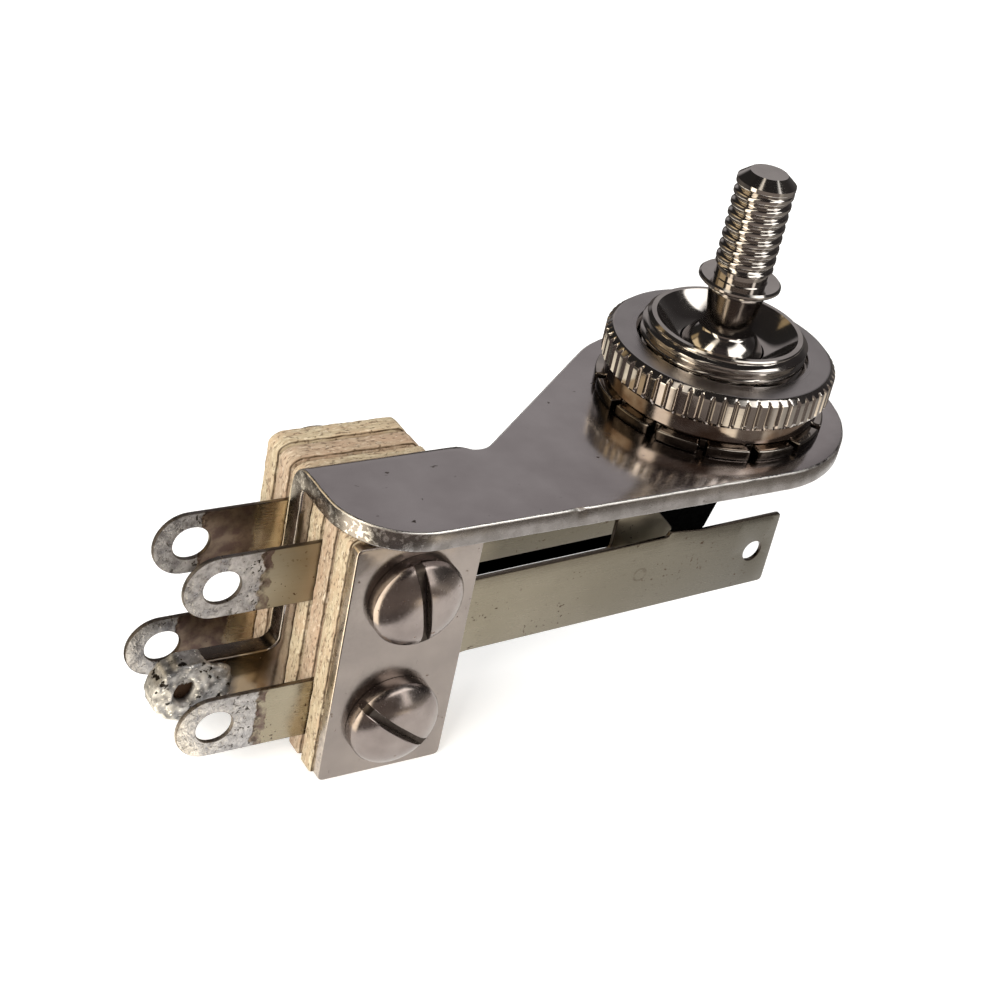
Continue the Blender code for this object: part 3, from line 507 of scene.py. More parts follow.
def solderMaterial(name, look):
    # solder: bright grey, dull in patches, with black pits of burnt flux and a brown mouth
    material, _, add, feed = startMaterial(name, 1.0)
    patch = noise(add, 0.8, 5.0, rough=0.6)
    fine = between(add, noise(add, 0.3, 2.0), 0.6, 0.66, 0.0, 0.8)
    base = mixColour(add, fine, twoTones(add, patch, 0.38, 0.62, look), look["fine"])
    pits = between(add, noise(add, 0.6, 3.0, rough=0.5), 0.6, 0.64)
    base = mixColour(add, pits, base, look["pit"])
    feed("Base Color", mixColour(add, rimMask(add), base, look["mouth"]))
    feed("Roughness", between(add, patch, 0.3, 0.7, 0.42, 0.6))
    bump(add, feed, plus(add, patch, times(add, pits, -0.5)), 0.00006, 0.8)
    return material


def plainMaterial(name, look):
    # a plain moulded, paper or silver surface with a fine grain
    material, shader, add, feed = startMaterial(name, look["metal"])
    grain = noise(add, look["grain"], 4.0)
    feed("Base Color", twoTones(add, grain, 0.35, 0.65, look))
    feed("Roughness", around(add, grain, look["rough"], 0.06))
    shader.inputs["Specular IOR Level"].default_value = look["mirror"]
    bump(add, feed, grain, 0.00003)
    return material


# the leaf tones are partly painted light: nickel silver, lightened so the back leaves, shaded by the parts in
# front, read as lit
leafLook = {
    "dark": (0.5, 0.41, 0.29), "light": (0.62, 0.53, 0.38), "far": (0.14, 0.125, 0.095),
    "fade": (-24.0, -14.0), "dots": 0.66, "tinEdge": -37.9, "stain": 3.9, "stainLow": 0.72,
    "stainTone": (0.17, 0.12, 0.105), "tinDark": (0.25, 0.245, 0.26), "tinLight": (0.56, 0.56, 0.59),
    "pits": 0.9, "lumps": 0.25, "edgeShadeShare": 0.8, "rimTone": (0.1, 0.08, 0.065), "rough": 0.25,
    "dotTone": (0.07, 0.045, 0.03), "shadeTone": (0.001, 0.001, 0.001), "weldTone": (0.1, 0.08, 0.06),
    "crustTone": (0.05, 0.035, 0.028), "pitTone": (0.02, 0.018, 0.016),
}
# brightTinLook's base tones, lightest at the lug, are partly painted light: raised so the front strips, which
# reflect shade, read as lit
brightTinLook = dict(leafLook, dark=(0.33, 0.29, 0.21), light=(0.4, 0.355, 0.265), far=(0.13, 0.12, 0.1),
                     fade=(-34.0, 4.0), tinEdge=-35.9, stain=0.75, stainLow=0.0, pits=1.0, lumps=0.4,
                     tinDark=(0.33, 0.32, 0.325), tinLight=(0.66, 0.65, 0.66))
boardLook = {
    "dark": (0.34, 0.255, 0.16), "light": (0.57, 0.475, 0.32), "pink": (0.45, 0.325, 0.21),
    "fleck": (0.15, 0.1, 0.06), "pale": (0.74, 0.64, 0.47), "edge": (0.06, 0.035, 0.016),
}
pinkBoardLook = dict(boardLook, dark=(0.29, 0.2, 0.13), light=(0.49, 0.38, 0.265), pink=(0.42, 0.29, 0.195),
                     pale=(0.68, 0.57, 0.43))
solderLook = {
    "dark": (0.2, 0.2, 0.21), "light": (0.6, 0.6, 0.61), "fine": (0.93, 0.92, 0.9),
    "pit": (0.02, 0.017, 0.015), "mouth": (0.05, 0.03, 0.02),
}
mouldingLook = {
    "dark": (0.001, 0.001, 0.001), "light": (0.003, 0.003, 0.003), "grain": 0.3, "rough": 0.3,
    "mirror": 0.0, "metal": 0.0,
}
tubeLook = {
    "dark": (0.2, 0.11, 0.05), "light": (0.36, 0.22, 0.12), "grain": 0.5, "rough": 0.7, "mirror": 0.5,
    "metal": 0.0,
}
silverLook = {
    "dark": (0.5, 0.49, 0.47), "light": (0.75, 0.74, 0.71), "grain": 0.4, "rough": 0.28, "mirror": 0.5,
    "metal": 1.0,
}
boards = {"inner": boardMaterial("pressed_paper_board", boardLook),
          "outer": boardMaterial("pale_paper_board", boardLook),
          "middle": boardMaterial("pink_paper_board", pinkBoardLook)}
solder = solderMaterial("solder", solderLook)
blackMoulding = plainMaterial("black_moulding", mouldingLook)
tubeBoard = plainMaterial("rolled_paper_tube", tubeLook)
silver = plainMaterial("contact_silver", silverLook)
print("materials made")


frameParts = {
    "sheet": 1.5, "plateRadius": 10.2, "reach": 33.3, "corner": 5.5, "legBack": -0.2, "legWidth": 11.3,
    "legDepth": 20.6, "legCorner": 0.8, "bend": 0.3, "relief": 1.6, "lugTip": -42.0, "lugHigh": 4.7,
    "lugCentre": -16.6, "lugFillet": 0.9, "lugSlot": (2.95, 2.4), "lugSlotIn": 2.7, "neck": 4.98,
    "screwX": -27.65, "screwZ": (-6.5, -16.5), "screwHole": 1.5, "edge": 0.17, "uneven": 0.012,
    "unevenSize": 1.3, "nickX": -17.5, "nickWide": 0.24, "nick": (0, 0.16, -0.24),
}


def slotLoop(centre, length, high, count=10):
    # a slot with round ends
    half = (length - high) / 2
    right = arcPoints((centre[0] + half, centre[1]), high / 2, -90, 90, count)
    left = arcPoints((centre[0] - half, centre[1]), high / 2, 90, 270, count)
    return np.vstack([right, left])


def frameBend(d):
    # where the bend starts in the flat sheet, and how long it is along the sheet's middle
    return d["legBack"] - d["sheet"] - d["bend"], (d["bend"] + d["sheet"] / 2) * math.pi / 2


def foldSheet(verts, d):
    # past the bend line a point turns by run / length * 90 degrees about the bend's centre, and past the
    # bend itself it hangs straight down
    bendStart, length = frameBend(d)
    x, y, z = verts.T
    z = z - d["sheet"] / 2
    run = y - bendStart
    angle = np.clip(run / length, 0, 1) * math.pi / 2
    past = np.maximum(run - length, 0)
    reach = z + d["sheet"] + d["bend"]
    turnedY = bendStart + reach * np.sin(angle)
    turnedZ = reach * np.cos(angle) - d["sheet"] - d["bend"] - past
    flat = (run <= 0) | (x > -d["reach"] + d["legWidth"] + d["relief"] + 0.001)
    return np.where(flat[:, None], np.stack([x, y, z], 1), np.stack([x, turnedY, turnedZ], 1))


def makeFrame(d):
    # one sheet with rounded punched edges, folded down at the back of its tongue
    bendStart, length = frameBend(d)

    def flatY(z):
        return bendStart + length - z - d["sheet"] - d["bend"]

    left = -d["reach"]
    right = left + d["legWidth"]
    plate = d["plateRadius"]
    notch = np.array([right + d["relief"], bendStart + d["relief"]])
    slope = math.atan2(-notch[1], -notch[0]) + math.asin((plate + d["relief"]) / np.hypot(*notch))
    slope = math.degrees(slope)
    foot = flatY(-d["legDepth"])
    half = d["lugHigh"] / 2
    lugLow = flatY(d["lugCentre"] - half)
    lugHigh = flatY(d["lugCentre"] + half)
    c = d["legCorner"]
    f = d["lugFillet"]
    outline = np.vstack([
        arcPoints((0, 0), plate, -90, 90 + slope, 110),
        arcPoints(notch, d["relief"], slope - 90, -180, 20),
        arcPoints((right - c, foot - c), c, 0, 90, 6),
        arcPoints((left + c, foot - c), c, 90, 180, 6),
        arcPoints((left - f, lugLow + f), f, 0, -90, 8),
        arcPoints((d["lugTip"] + half, (lugLow + lugHigh) / 2), half, 90, 270, 24),
        arcPoints((left - f, lugHigh - f), f, 90, 0, 8),
        arcPoints((left + d["corner"], -plate + d["corner"]), d["corner"], 180, 270, 26),
    ])
    lines = bendStart + length * np.arange(13) / 12
    sides = dense(outline, 0.35)
    for line in lines:                                   # a point where each fold line meets the outline
        nextX, nextY = np.roll(sides, -1, axis=0).T
        crosses = (sides[:, 1] - line) * (nextY - line) < -1e-12
        crosses &= np.minimum(sides[:, 0], nextX) < right + 0.01
        spots = np.flatnonzero(crosses)
        share = (line - sides[spots, 1]) / (nextY[spots] - sides[spots, 1])
        xs = sides[spots, 0] + share * (nextX[spots] - sides[spots, 0])
        sides = np.insert(sides, spots + 1, np.stack([xs, np.full(len(xs), line)], 1), axis=0)
    sides = sides + waves(sides, d["unevenSize"], 5)[:, None] * d["uneven"]
    inner = np.stack(np.meshgrid(np.linspace(left + 0.5, right - 0.4, 14), lines), -1).reshape(-1, 2)
    holes = [circle((0, 0), d["neck"], 96)]
    holes += [circle((d["screwX"], flatY(z)), d["screwHole"], 32) for z in d["screwZ"]]
    holes.append(slotLoop((d["lugTip"] + d["lugSlotIn"], flatY(d["lugCentre"])), *d["lugSlot"]))
    verts, faces, rim = sheet(sides, holes, d["sheet"], d["edge"], inner)
    nick = np.exp(-((verts[:, 0] - d["nickX"]) / d["nickWide"]) ** 2) * (verts[:, 1] < 0.3 - plate)
    nick = nick * (verts[:, 2] > 0.3) * (verts[:, 2] < d["sheet"] / 2 - 0.002)
    verts = verts + nick[:, None] * d["nick"]            # a dent in the plate's front edge
    putMesh("bent_frame", foldSheet(verts, d), faces, plated, fixedBody, ["frame"], rim, 40)


makeFrame(frameParts)
print("frame made")

bushingParts = {
    "thread": 6.0, "pitch": 0.794, "depth": 0.42, "high": 6.3, "low": 0.03, "chamfer": 0.5, "mouth": 5.05,
    "mouthLow": 0.12, "bend": (0.85, 0.25), "bore": 3.4, "neck": 4.95, "flange": 6.2, "flangeThick": 0.75,
    "sheet": 1.53, "pivot": 3.2, "seat": 25,
}
nutParts = {
    "radius": 8.4, "hub": 7.9, "bottom": 0.86, "shoulder": 2.36, "top": 4.76, "chamfer": 0.42,
    "ease": 0.12, "knurl": 0.3, "count": 64, "crest": 0.52, "flank": 0.4, "bore": 6.06,
}
washerParts = {
    "radius": 8.45, "bore": 6.08, "low": 0.03, "thick": 0.8, "count": 14, "notch": 0.5, "deep": 0.95,
    "ease": 0.08, "edge": 0.14,
}


def makeBushing(d):
    # outside, a helix cut into a cylinder and trimmed by the rim's chamfer; inside, a dish and a seat
    top = d["high"]
    rim = d["thread"] - d["chamfer"]
    foot = -d["sheet"] - d["flangeThick"]
    outer = dense([[rim, top], [d["thread"], top - d["chamfer"]], [d["thread"], d["low"]]], 0.066, False)
    under = np.array([[d["neck"], d["low"]], [d["neck"], -d["sheet"]], [d["flange"], -d["sheet"]],
                      [d["flange"], foot], [d["bore"], foot]])
    seat = arcPoints((0, d["pivot"]), d["bore"], 0, d["seat"], 6)
    t = np.linspace(0, 1, 14)[:, None]
    dish = quadratic(seat[-1], seat[-1] + d["bend"], np.array([d["mouth"], top - d["mouthLow"]]), t)
    lip = np.array([[d["mouth"] + 0.1, top], [rim - 0.1, top]])

    def threaded(r, z, a):
        cut = threadDepth(z, a, d["pitch"], d["depth"])
        run = np.clip((z - 0.2) / 0.4, 0, 1)
        outside = (r > rim - 1e-6) & (z > 0.02)
        return np.where(outside, np.minimum(r, d["thread"] - cut * run), r)

    verts, faces = lathe(np.vstack([outer, under, seat[:-1], dish, lip]), 192, threaded)
    putMesh("threaded_bushing", verts, faces, brightMetal, fixedBody, ["bushing"], sharp=32)


def makeNut(d):
    # the knurl is a row of flat-topped ridges round the disc, trimmed by the disc's two chamfers; the grooves
    # are uneven round the ring by two sines of the angle
    r, top, low, hub, ease = d["radius"], d["top"], d["shoulder"], d["hub"], d["ease"]
    flatEdge = r - d["chamfer"]
    profile = dense(np.array([
        [d["bore"] + 0.25, top], [flatEdge - 0.06, top], [flatEdge, top - 0.03],
        [r - 0.02, top - d["chamfer"] + 0.02], [r, top - d["chamfer"] - 0.04], [r, low + 0.28],
        [r - 0.24, low], [hub + ease, low], [hub, low - ease], [hub, d["bottom"] + 0.3],
        [hub - 0.3, d["bottom"]], [d["bore"], d["bottom"]], [d["bore"], top - 0.25]]), 0.16)

    def knurled(r, z, a):
        phase = (a * d["count"] / (2 * np.pi)) % 1.0
        away = np.abs(2 * phase - 1)
        groove = np.clip((away - d["crest"]) / d["flank"], 0, 1)
        wobble = 0.035 * np.sin(a * 7 + 1.0) + 0.02 * np.sin(a * 23)
        ridge = d["radius"] - (d["knurl"] + wobble) * groove ** 0.8
        onDisc = (z > low - 1e-6) & (r > hub)
        return np.where(onDisc, np.minimum(r, ridge), r)

    verts, faces = lathe(profile, d["count"] * 12, knurled)
    nut = putMesh("knurled_ring_nut", verts, faces, nutMetal, fixedBody, ["knurled_nut"],
                  sharp=28)
    nut.data.materials.append(satinTop)
    centres = np.zeros(len(nut.data.polygons) * 3)
    nut.data.polygons.foreach_get("center", centres)
    onTop = (centres.reshape(-1, 3)[:, 2] > (top - 0.01) * mm).astype(np.int32)
    nut.data.polygons.foreach_set("material_index", onTop)


def makeWasher(d):
    # a flat ring: its outline is a circle whose radius drops by `deep` over each of its notches
    outline = []
    half = math.degrees(d["notch"] / 2 / d["radius"])
    pitch = 360 / d["count"]
    for i in range(d["count"]):
        start = i * pitch
        outline.append(arcPoints((0, 0), d["radius"] - d["deep"], start - half, start + half, 2))
        outline.append(arcPoints((0, 0), d["radius"], start + half * 1.3, start + pitch - half * 1.3, 8))
    outline = roundCorners(np.vstack(outline), d["ease"], 2)
    verts, faces, rim = sheet(outline, [circle((0, 0), d["bore"], 72)], d["thick"], d["edge"])
    verts[:, 2] += d["low"] + d["thick"] / 2
    putMesh("toothed_washer", verts, faces, washerMetal, fixedBody, ["lock_washer"], rim, 40)


makeBushing(bushingParts)
makeNut(nutParts)
makeWasher(washerParts)
print("bushing, nut and washer made")

leverParts = {
    "top": 18.0, "thread": 2.085, "pitch": 0.82, "depth": 0.27, "threadEnd": 11.0, "flatTop": 1.34,
    "chamferHigh": 0.62, "shank": 1.87, "collar": 2.95, "collarLow": 9.6, "collarThick": 0.42,
    "neckTop": 2.12, "neckLow": 1.72, "ball": 3.3, "pivot": 3.2, "arm": 1.45, "armEnd": -6.5,
}


def makeLever(d):
    # a turned profile: radius by height, with a quadratic neck and the arc of the ball; the helix cut into
    # its upper end fades out into the plain shank
    c = d["collarLow"]
    k = d["collarThick"]
    shoulder = d["top"] - d["chamferHigh"]
    upper = dense([[0.02, d["top"]], [d["flatTop"], d["top"]], [d["thread"], shoulder],
                   [d["thread"], d["threadEnd"]], [d["shank"], d["threadEnd"] - 0.22]], 0.055, False)
    collar = np.array([[d["shank"], c + k + 0.06], [d["shank"] + 0.06, c + k], [d["collar"] - 0.14, c + k],
                       [d["collar"], c + k - 0.13], [d["collar"], c + 0.13], [d["collar"] - 0.14, c],
                       [d["neckTop"] + 0.06, c], [d["neckTop"], c - 0.06]])
    ballTop = math.degrees(math.acos(d["neckLow"] / d["ball"])) - 3
    ballLow = -math.degrees(math.acos(d["arm"] / d["ball"]))
    ball = arcPoints((0, d["pivot"]), d["ball"], ballTop, ballLow, 36)
    bend = np.array([d["neckLow"] - 0.12, ball[0][1] + 0.75])
    neck = quadratic(np.array([d["neckTop"], c - 0.35]), bend, ball[0], np.linspace(0, 1, 16)[:, None])
    arm = np.array([[d["arm"], d["armEnd"] + 0.1], [d["arm"] - 0.1, d["armEnd"]], [0.02, d["armEnd"]]])

    def threaded(r, z, a):
        cut = threadDepth(z, a, d["pitch"], d["depth"])
        fade = np.clip((z - d["threadEnd"] + 0.05) / 0.35, 0, 1) * np.clip((shoulder - 0.3 - z) / 0.3, 0, 1)
        inThread = z > d["threadEnd"] - 0.05
        return np.where(inThread, np.minimum(r, d["thread"] - cut * fade), r)

    verts, faces = lathe(np.vstack([upper, collar, neck[:-1], ball, arm]), 120, threaded)
    putMesh("threaded_lever", verts, faces, brightMetal, leverBody, ["lever"], sharp=38)


makeLever(leverParts)
print("lever made")

stackParts = {
    "x": -27.65, "screwZ": (-6.5, -16.5), "left": 4.8, "right": 5.4, "top": -1.7, "bottom": -21.1,
    "rise": 0.3, "cutX": 0.8, "cutZ": 0.8, "ease": 0.9, "board": 1.54, "seat": 0.03, "leaf": 0.34,
    "clamp": 0.9, "legFront": -1.7, "legBack": -0.2, "boardHole": 2.0, "boardEdge": 0.2,
    "shift": (-0.16, 0.04), "uneven": 0.025, "unevenSize": 1.1,
}
clampParts = {
    "front": {"top": -2.1, "half": 4.7}, "back": {"top": -2.4, "half": 4.1}, "low": -21.13, "ease": 0.5,
    "hole": 1.6, "edge": 0.12,
}


def stackY(side, layer, d=stackParts):
    # the middle of a layer, counted out from the leg's face on that side
    out = 0.0
    for name in ("inner", "short", "middle", "long", "outer", "clamp"):
        thick = {"short": d["leaf"], "long": d["leaf"], "clamp": d["clamp"]}.get(name, d["board"])
        out += d["seat"] + thick / 2
        if name == layer:
            break
        out += thick / 2
    return d["legFront"] - out if side == "front" else d["legBack"] + out


def boreLoops(x, heights, radius):
    return [circle((x, z), radius, 28) for z in heights]


def makeBoards(d):
    # each board is cut a little differently, so their edges don't line up
    rng = np.random.default_rng(11)
    holes = boreLoops(d["x"], d["screwZ"], d["boardHole"])
    for side in ("front", "back"):
        for layer in ("inner", "middle", "outer"):
            shift = rng.uniform(*d["shift"], 4)
            left = d["x"] - d["left"] - 0.1 * rng.random()
            right = d["x"] + d["right"] + shift[0]
            top = d["top"] + (d["rise"] if side == "back" else 0) - 0.06 * rng.random()
            cut = [(right, top - d["cutZ"] + shift[1]), (right - d["cutX"] + shift[2], top)]
            corner = arcPoints((left + d["ease"], top - d["ease"]), d["ease"], 90, 180, 6)
            outline = np.vstack([[(right, d["bottom"])], cut, corner, [(left, d["bottom"])]])
            outline = dense(roundCorners(outline, 0.15, 2), 0.5)
            jagged = [waves(outline, d["unevenSize"], seed) for seed in (3, 4)]
            outline = outline + d["uneven"] * np.stack(jagged, 1)
            verts, faces, rim = sheet(outline, holes, d["board"], d["boardEdge"], steps=4)
            name = f"{side}_insulator_{layer}"
            putMesh("board_" + name, upright(verts, stackY(side, layer)), faces, boards[layer], fixedBody,
                    [name], rim, 50)


def makeClamps(d):
    # a plain plate with rounded corners presses on each half of the stack
    x = stackParts["x"]
    for side in ("front", "back"):
        half, top = d[side]["half"], d[side]["top"]
        outline = [(x + half, d["low"]), (x + half, top), (x - half, top), (x - half, d["low"])]
        outline = dense(roundCorners(outline, d["ease"], 5), 0.8)
        holes = boreLoops(x, stackParts["screwZ"], d["hole"])
        verts, faces, rim = sheet(outline, holes, stackParts["clamp"], d["edge"])
        name = f"{side}_clamp_plate"
        putMesh("pressure_" + name, upright(verts, stackY(side, "clamp")), faces, clampMetal, fixedBody,
                [name], rim, 40)


leafParts = {
    "inset": 0.9, "lugTip": {"short": -41.75, "long": -42.0}, "slot": (2.62, 2.46), "slotIn": 2.68,
    "lugHigh": 4.7, "upper": -6.75, "lower": -16.6, "root": -22.1, "lean": 2.55, "edge": 0.07,
    "screwHole": 2.15, "flexLong": 9,
    "long": {
        "tip": 6.5, "top": -8.3, "bottom": {"front": -14.5, "back": -15.75}, "flare": 0.9,
        "flareLong": 2.2, "stepX": -4.4, "step": 0.42, "stepLong": 3.4, "holeX": 4.6, "holeZ": -11.4,
        "hole": 0.85,
    },
    "short": {
        "tip": -2.4, "head": -7.9, "top": -7.2, "neck": -9.9, "bottom": -12.9, "cutX": 1.9, "cutZ": 1.9,
    },
}


def makeLeaf(side, layer, d, material):
    # a flat leaf with its lug, clamped plate and arm, stood up between the boards and leaned at its root
    left = stackParts["x"] - stackParts["left"] + d["inset"]
    right = stackParts["x"] + stackParts["right"] - d["inset"]
    top = stackParts["top"] - d["inset"]
    low = stackParts["bottom"] + d["inset"]
    flexes = layer == "long"
    p = d[layer]
    centre = d["lower"] if flexes else d["upper"]
    tip = d["lugTip"][layer]
    half = d["lugHigh"] / 2
    holes = boreLoops(stackParts["x"], stackParts["screwZ"], d["screwHole"])
    holes.append(slotLoop((tip + d["slotIn"], centre), *d["slot"], 14))
    if flexes:
        foot = p["bottom"][side]
        arm = [(right, low), (right, foot - p["flare"]), (right + p["flareLong"], foot), (p["tip"], foot),
               (p["tip"], p["top"]), (p["stepX"] + p["stepLong"], p["top"]),
               (p["stepX"] + 0.2, p["top"] + p["step"]), (p["stepX"], p["top"]), (right, p["top"])]
        holes += boreLoops(p["holeX"], [p["holeZ"]], p["hole"])
    else:
        arm = [(right, low), (right, p["bottom"]), (p["tip"], p["bottom"]),
               (p["tip"], p["top"] - p["cutZ"]), (p["tip"] - p["cutX"], p["top"]), (p["head"], p["top"]),
               (p["head"], p["neck"]), (right, p["neck"])]
    arm = roundCorners(arm + [(right, top), (left, top)], 0.35, 3)
    lug = arcPoints((tip + half, centre), half, 90, 270, 26)
    lug = np.vstack([[(left, centre + half)], lug, [(left, centre - half)], [(left, low)]])
    outline = dense(np.vstack([arm, lug]), 0.7)
    inner = np.stack(np.meshgrid(np.linspace(d["root"] - 1, p["tip"] - 1, 26), [-11.6]), -1).reshape(-1, 2)
    verts, faces, rim = sheet(outline, holes, stackParts["leaf"], d["edge"], inner, 2)
    verts = upright(verts, 0.0)
    past = np.maximum(verts[:, 0] - d["root"], 0)        # the arm leans by past * tan(lean) from its root
    verts[:, 1] += stackY(side, layer) + past * math.tan(math.radians(d["lean"]))
    name = f"{side}_{layer}_leaf"
    piece = putMesh("contact_" + name, verts, faces, material, fixedBody, [name], rim, 40,
                    ride=not flexes)
    if flexes:                                           # the long leaf rides on no body; its placement is baked into its mesh
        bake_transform(piece)


screwParts = {
    "radius": 3.3, "high": 2.05, "rim": 0.95, "ease": 0.28, "fall": 0.16, "shank": 1.4, "slot": 0.6,
    "deep": 0.8, "lip": 0.05, "bite": 0.66, "washer": {"front": 0.0, "back": 0.8},
}


def makeScrew(name, side, z, turn, d, material):
    # the head is a grid of chords; at radius r its height falls with the cube of r / radius, and between the
    # slot's two walls it is held at the slot's floor
    radius, half, lip = d["radius"], d["slot"] / 2, d["lip"]
    face = stackParts["legFront"] if side == "front" else stackParts["legBack"]
    seat = abs(stackY(side, "clamp") - face) + stackParts["clamp"] / 2 + stackParts["seat"]
    seat += d["washer"][side]
    outer = radius * np.sin(np.linspace(math.asin((half + lip) / radius), np.pi / 2, 22))
    v = np.concatenate([-outer[::-1], [-half, -half, half, half], outer])
    depth = np.concatenate([np.zeros(22), [lip, 1, 1, lip], np.zeros(22)])
    u = np.sin(np.linspace(-np.pi / 2, np.pi / 2, 49))
    chord = np.sqrt(np.maximum(radius ** 2 - v ** 2, 0))
    x = chord[:, None] * u[None, :]
    y = np.repeat(v[:, None], len(u), axis=1)
    r = np.sqrt(x ** 2 + y ** 2)
    dome = d["rim"] + (d["high"] - d["rim"]) * (1 - np.clip(r / radius, 0, 1) ** 3)
    dome -= d["fall"] * np.clip((r - radius + d["ease"]) / d["ease"], 0, 1) ** 2
    floor = d["high"] - d["deep"]
    head = np.where(depth[:, None] == 1, np.minimum(dome, floor), dome - lip * (depth[:, None] == lip))
    top = np.stack([x, y, head], -1)
    bottom = np.stack([x, y, np.zeros_like(x)], -1)[:, ::-1]
    ring = np.concatenate([top, bottom], axis=1)
    foot = -seat - d["bite"]
    shank, shankFaces = lathe([[d["shank"], 0.1], [d["shank"], foot], [0.02, foot], [0.02, 0.1]], 32)
    verts = np.concatenate([ring.reshape(-1, 3), shank])
    faces = gridFaces(len(v), ring.shape[1]).tolist() + (shankFaces + ring.shape[0] * ring.shape[1]).tolist()
    cut = np.zeros(ring.shape[:2])
    cut[depth == 1, :len(u)] = 1                         # marks the slot's floor, which the rim tone paints dark as shade
    cut = np.concatenate([cut.ravel(), np.zeros(len(shank))])
    c, s = math.cos(turn), math.sin(turn)
    turnedX = verts[:, 0] * c - verts[:, 1] * s
    turnedY = verts[:, 0] * s + verts[:, 1] * c
    way = -1 if side == "front" else 1
    out = np.stack([stackParts["x"] - turnedX * way, face + way * (seat + verts[:, 2]), z + turnedY], axis=1)
    putMesh("slotted_" + name, out, faces, material, fixedBody, [name], cut, 34)


solderParts = {
    "lugX": -39.6, "lugZ": -16.55, "left": 2.5, "right": 3.15, "high": (2.4, 2.0), "skin": 0.12,
    "crown": 0.3, "mouthX": -39.9, "mouthZ": -16.35, "mouth": (0.66, 0.95), "floor": -1.4, "web": -1.2,
    "back": -0.35, "front": -1.7,
}


def makeSolder(d):
    # a lumpy cap on the lug: rings of points run from the middle of the hole (s = -1) over its mouth (s = 0)
    # to the border (s = 1); past the mouth it stands proud by skin + crown * lumps, times square roots of the
    # share s at both ends
    a = np.linspace(0, 2 * np.pi, 97)[:-1]
    s = np.concatenate([np.linspace(-0.98, -0.04, 5), np.linspace(0, 1, 36)])[:, None]
    c, n = np.cos(a), np.sin(a)
    middle = np.array([d["mouthX"], d["mouthZ"]])
    mouth = middle + np.stack([d["mouth"][0] * c * (1 + 0.14 * np.sin(a * 2 + 0.6)), d["mouth"][1] * n], 1)
    rimX = d["lugX"] + np.where(c < 0, d["left"] * c, d["right"] * np.abs(c) ** 0.55)
    high = d["high"][0] + (d["high"][1] - d["high"][0]) * np.clip(c, 0, 1) ** 0.5
    rimZ = d["lugZ"] + high * np.sign(n) * np.where(c < 0, np.abs(n), np.abs(n) ** 0.5)
    rim = np.stack([rimX, rimZ], 1)
    rim += 0.05 * waves(rim, 1.0, 21)[:, None] * (rim - [d["lugX"], d["lugZ"]]) / 2.4
    outer = np.clip(s, 0, 1)[..., None]
    inside = (mouth[None] - middle) * (1 + np.minimum(s, 0))[..., None] * (1 - outer)
    flat = middle + inside + (rim[None] - middle) * outer
    shape = np.clip(s / 0.16, 0, 1) ** 0.5 * np.clip((1 - s) / 0.14, 0, 1) ** 0.5
    lumps = 0.5 + 0.3 * waves(flat, 1.8, 31) + 0.1 * waves(flat, 0.8, 32)
    proud = d["skin"] * shape + d["crown"] * shape * np.clip(lumps, 0.02, 1.4)
    hidden = d["web"] + (d["back"] - d["web"]) * np.clip((s - 0.5) / 0.25, 0, 1)
    top = np.concatenate([flat, np.where(s < 0, d["floor"], d["front"] - proud)[..., None]], -1)
    under = np.concatenate([flat, np.broadcast_to(hidden, flat.shape[:2])[..., None]], -1)[::-1]
    grid = np.concatenate([top, under])[..., [0, 2, 1]]
    burnt = np.concatenate([(s < 0) * (flat[..., 1] < d["mouthZ"] + 0.3), np.zeros(flat.shape[:2])])
    faces = gridFaces(len(grid), len(a), closeRows=True)
    putMesh("ground_lug_solder", grid.reshape(-1, 3), faces, solder, fixedBody,
            rim=burnt.ravel(), sharp=60)


makeBoards(stackParts)
makeClamps(clampParts)
# painted light: the short front leaf's arm keeps a pale tone where the other leaves fade dark, standing in
# for light on it
shortLeafLitLook = dict(brightTinLook, far=(0.5, 0.46, 0.38), rough=0.42)
longFrontLook = dict(brightTinLook, weld=(-6.2, -11.2), weldRadius=0.52)
leafMetals = {
    ("back", "short"): leafMaterial("nickel_silver_stained_lug", leafLook),
    # the back long leaf carries a band of painted shade low on its inner face
    ("back", "long"): leafMaterial("nickel_silver_tarnished_arm", dict(leafLook, shade=-14.1)),
    ("front", "short"): leafMaterial("nickel_silver_short_leaf_painted_light", shortLeafLitLook),
    ("front", "long"): leafMaterial("nickel_silver_tinned_lug", longFrontLook),
}
for (leafSide, leafLayer), leafMetal in leafMetals.items():
    makeLeaf(leafSide, leafLayer, leafParts, leafMetal)
makeSolder(solderParts)
slotTurns = {"front": (-78, -38), "back": (20, 65)}
for screwSide, turns in slotTurns.items():
    for spot, height, turn in zip(("upper", "lower"), stackParts["screwZ"], turns):
        makeScrew(f"{screwSide}_screw_{spot}", screwSide, height, math.radians(turn), screwParts, screwMetal)
print("contact stack made")

# what stays as packed gets its finish
finishes = {"retaining_ring": washerMetal, "pivot_pin": screwMetal, "actuator_paddle": blackMoulding}
for stackSide in ("front", "back"):
    for kind in ("short", "long"):
        finishes[f"{stackSide}_{kind}_contact"] = silver
    for spot in ("upper", "lower"):
        finishes[f"{stackSide}_sleeve_{spot}"] = tubeBoard
        if stackSide == "back":
            finishes[f"{stackSide}_washer_{spot}"] = washerMetal
for nodeName, finish in finishes.items():
    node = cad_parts[nodeName]
    for slot in node.material_slots:
        slot.material = finish
    if not node.material_slots:
        node.data.materials.append(finish)

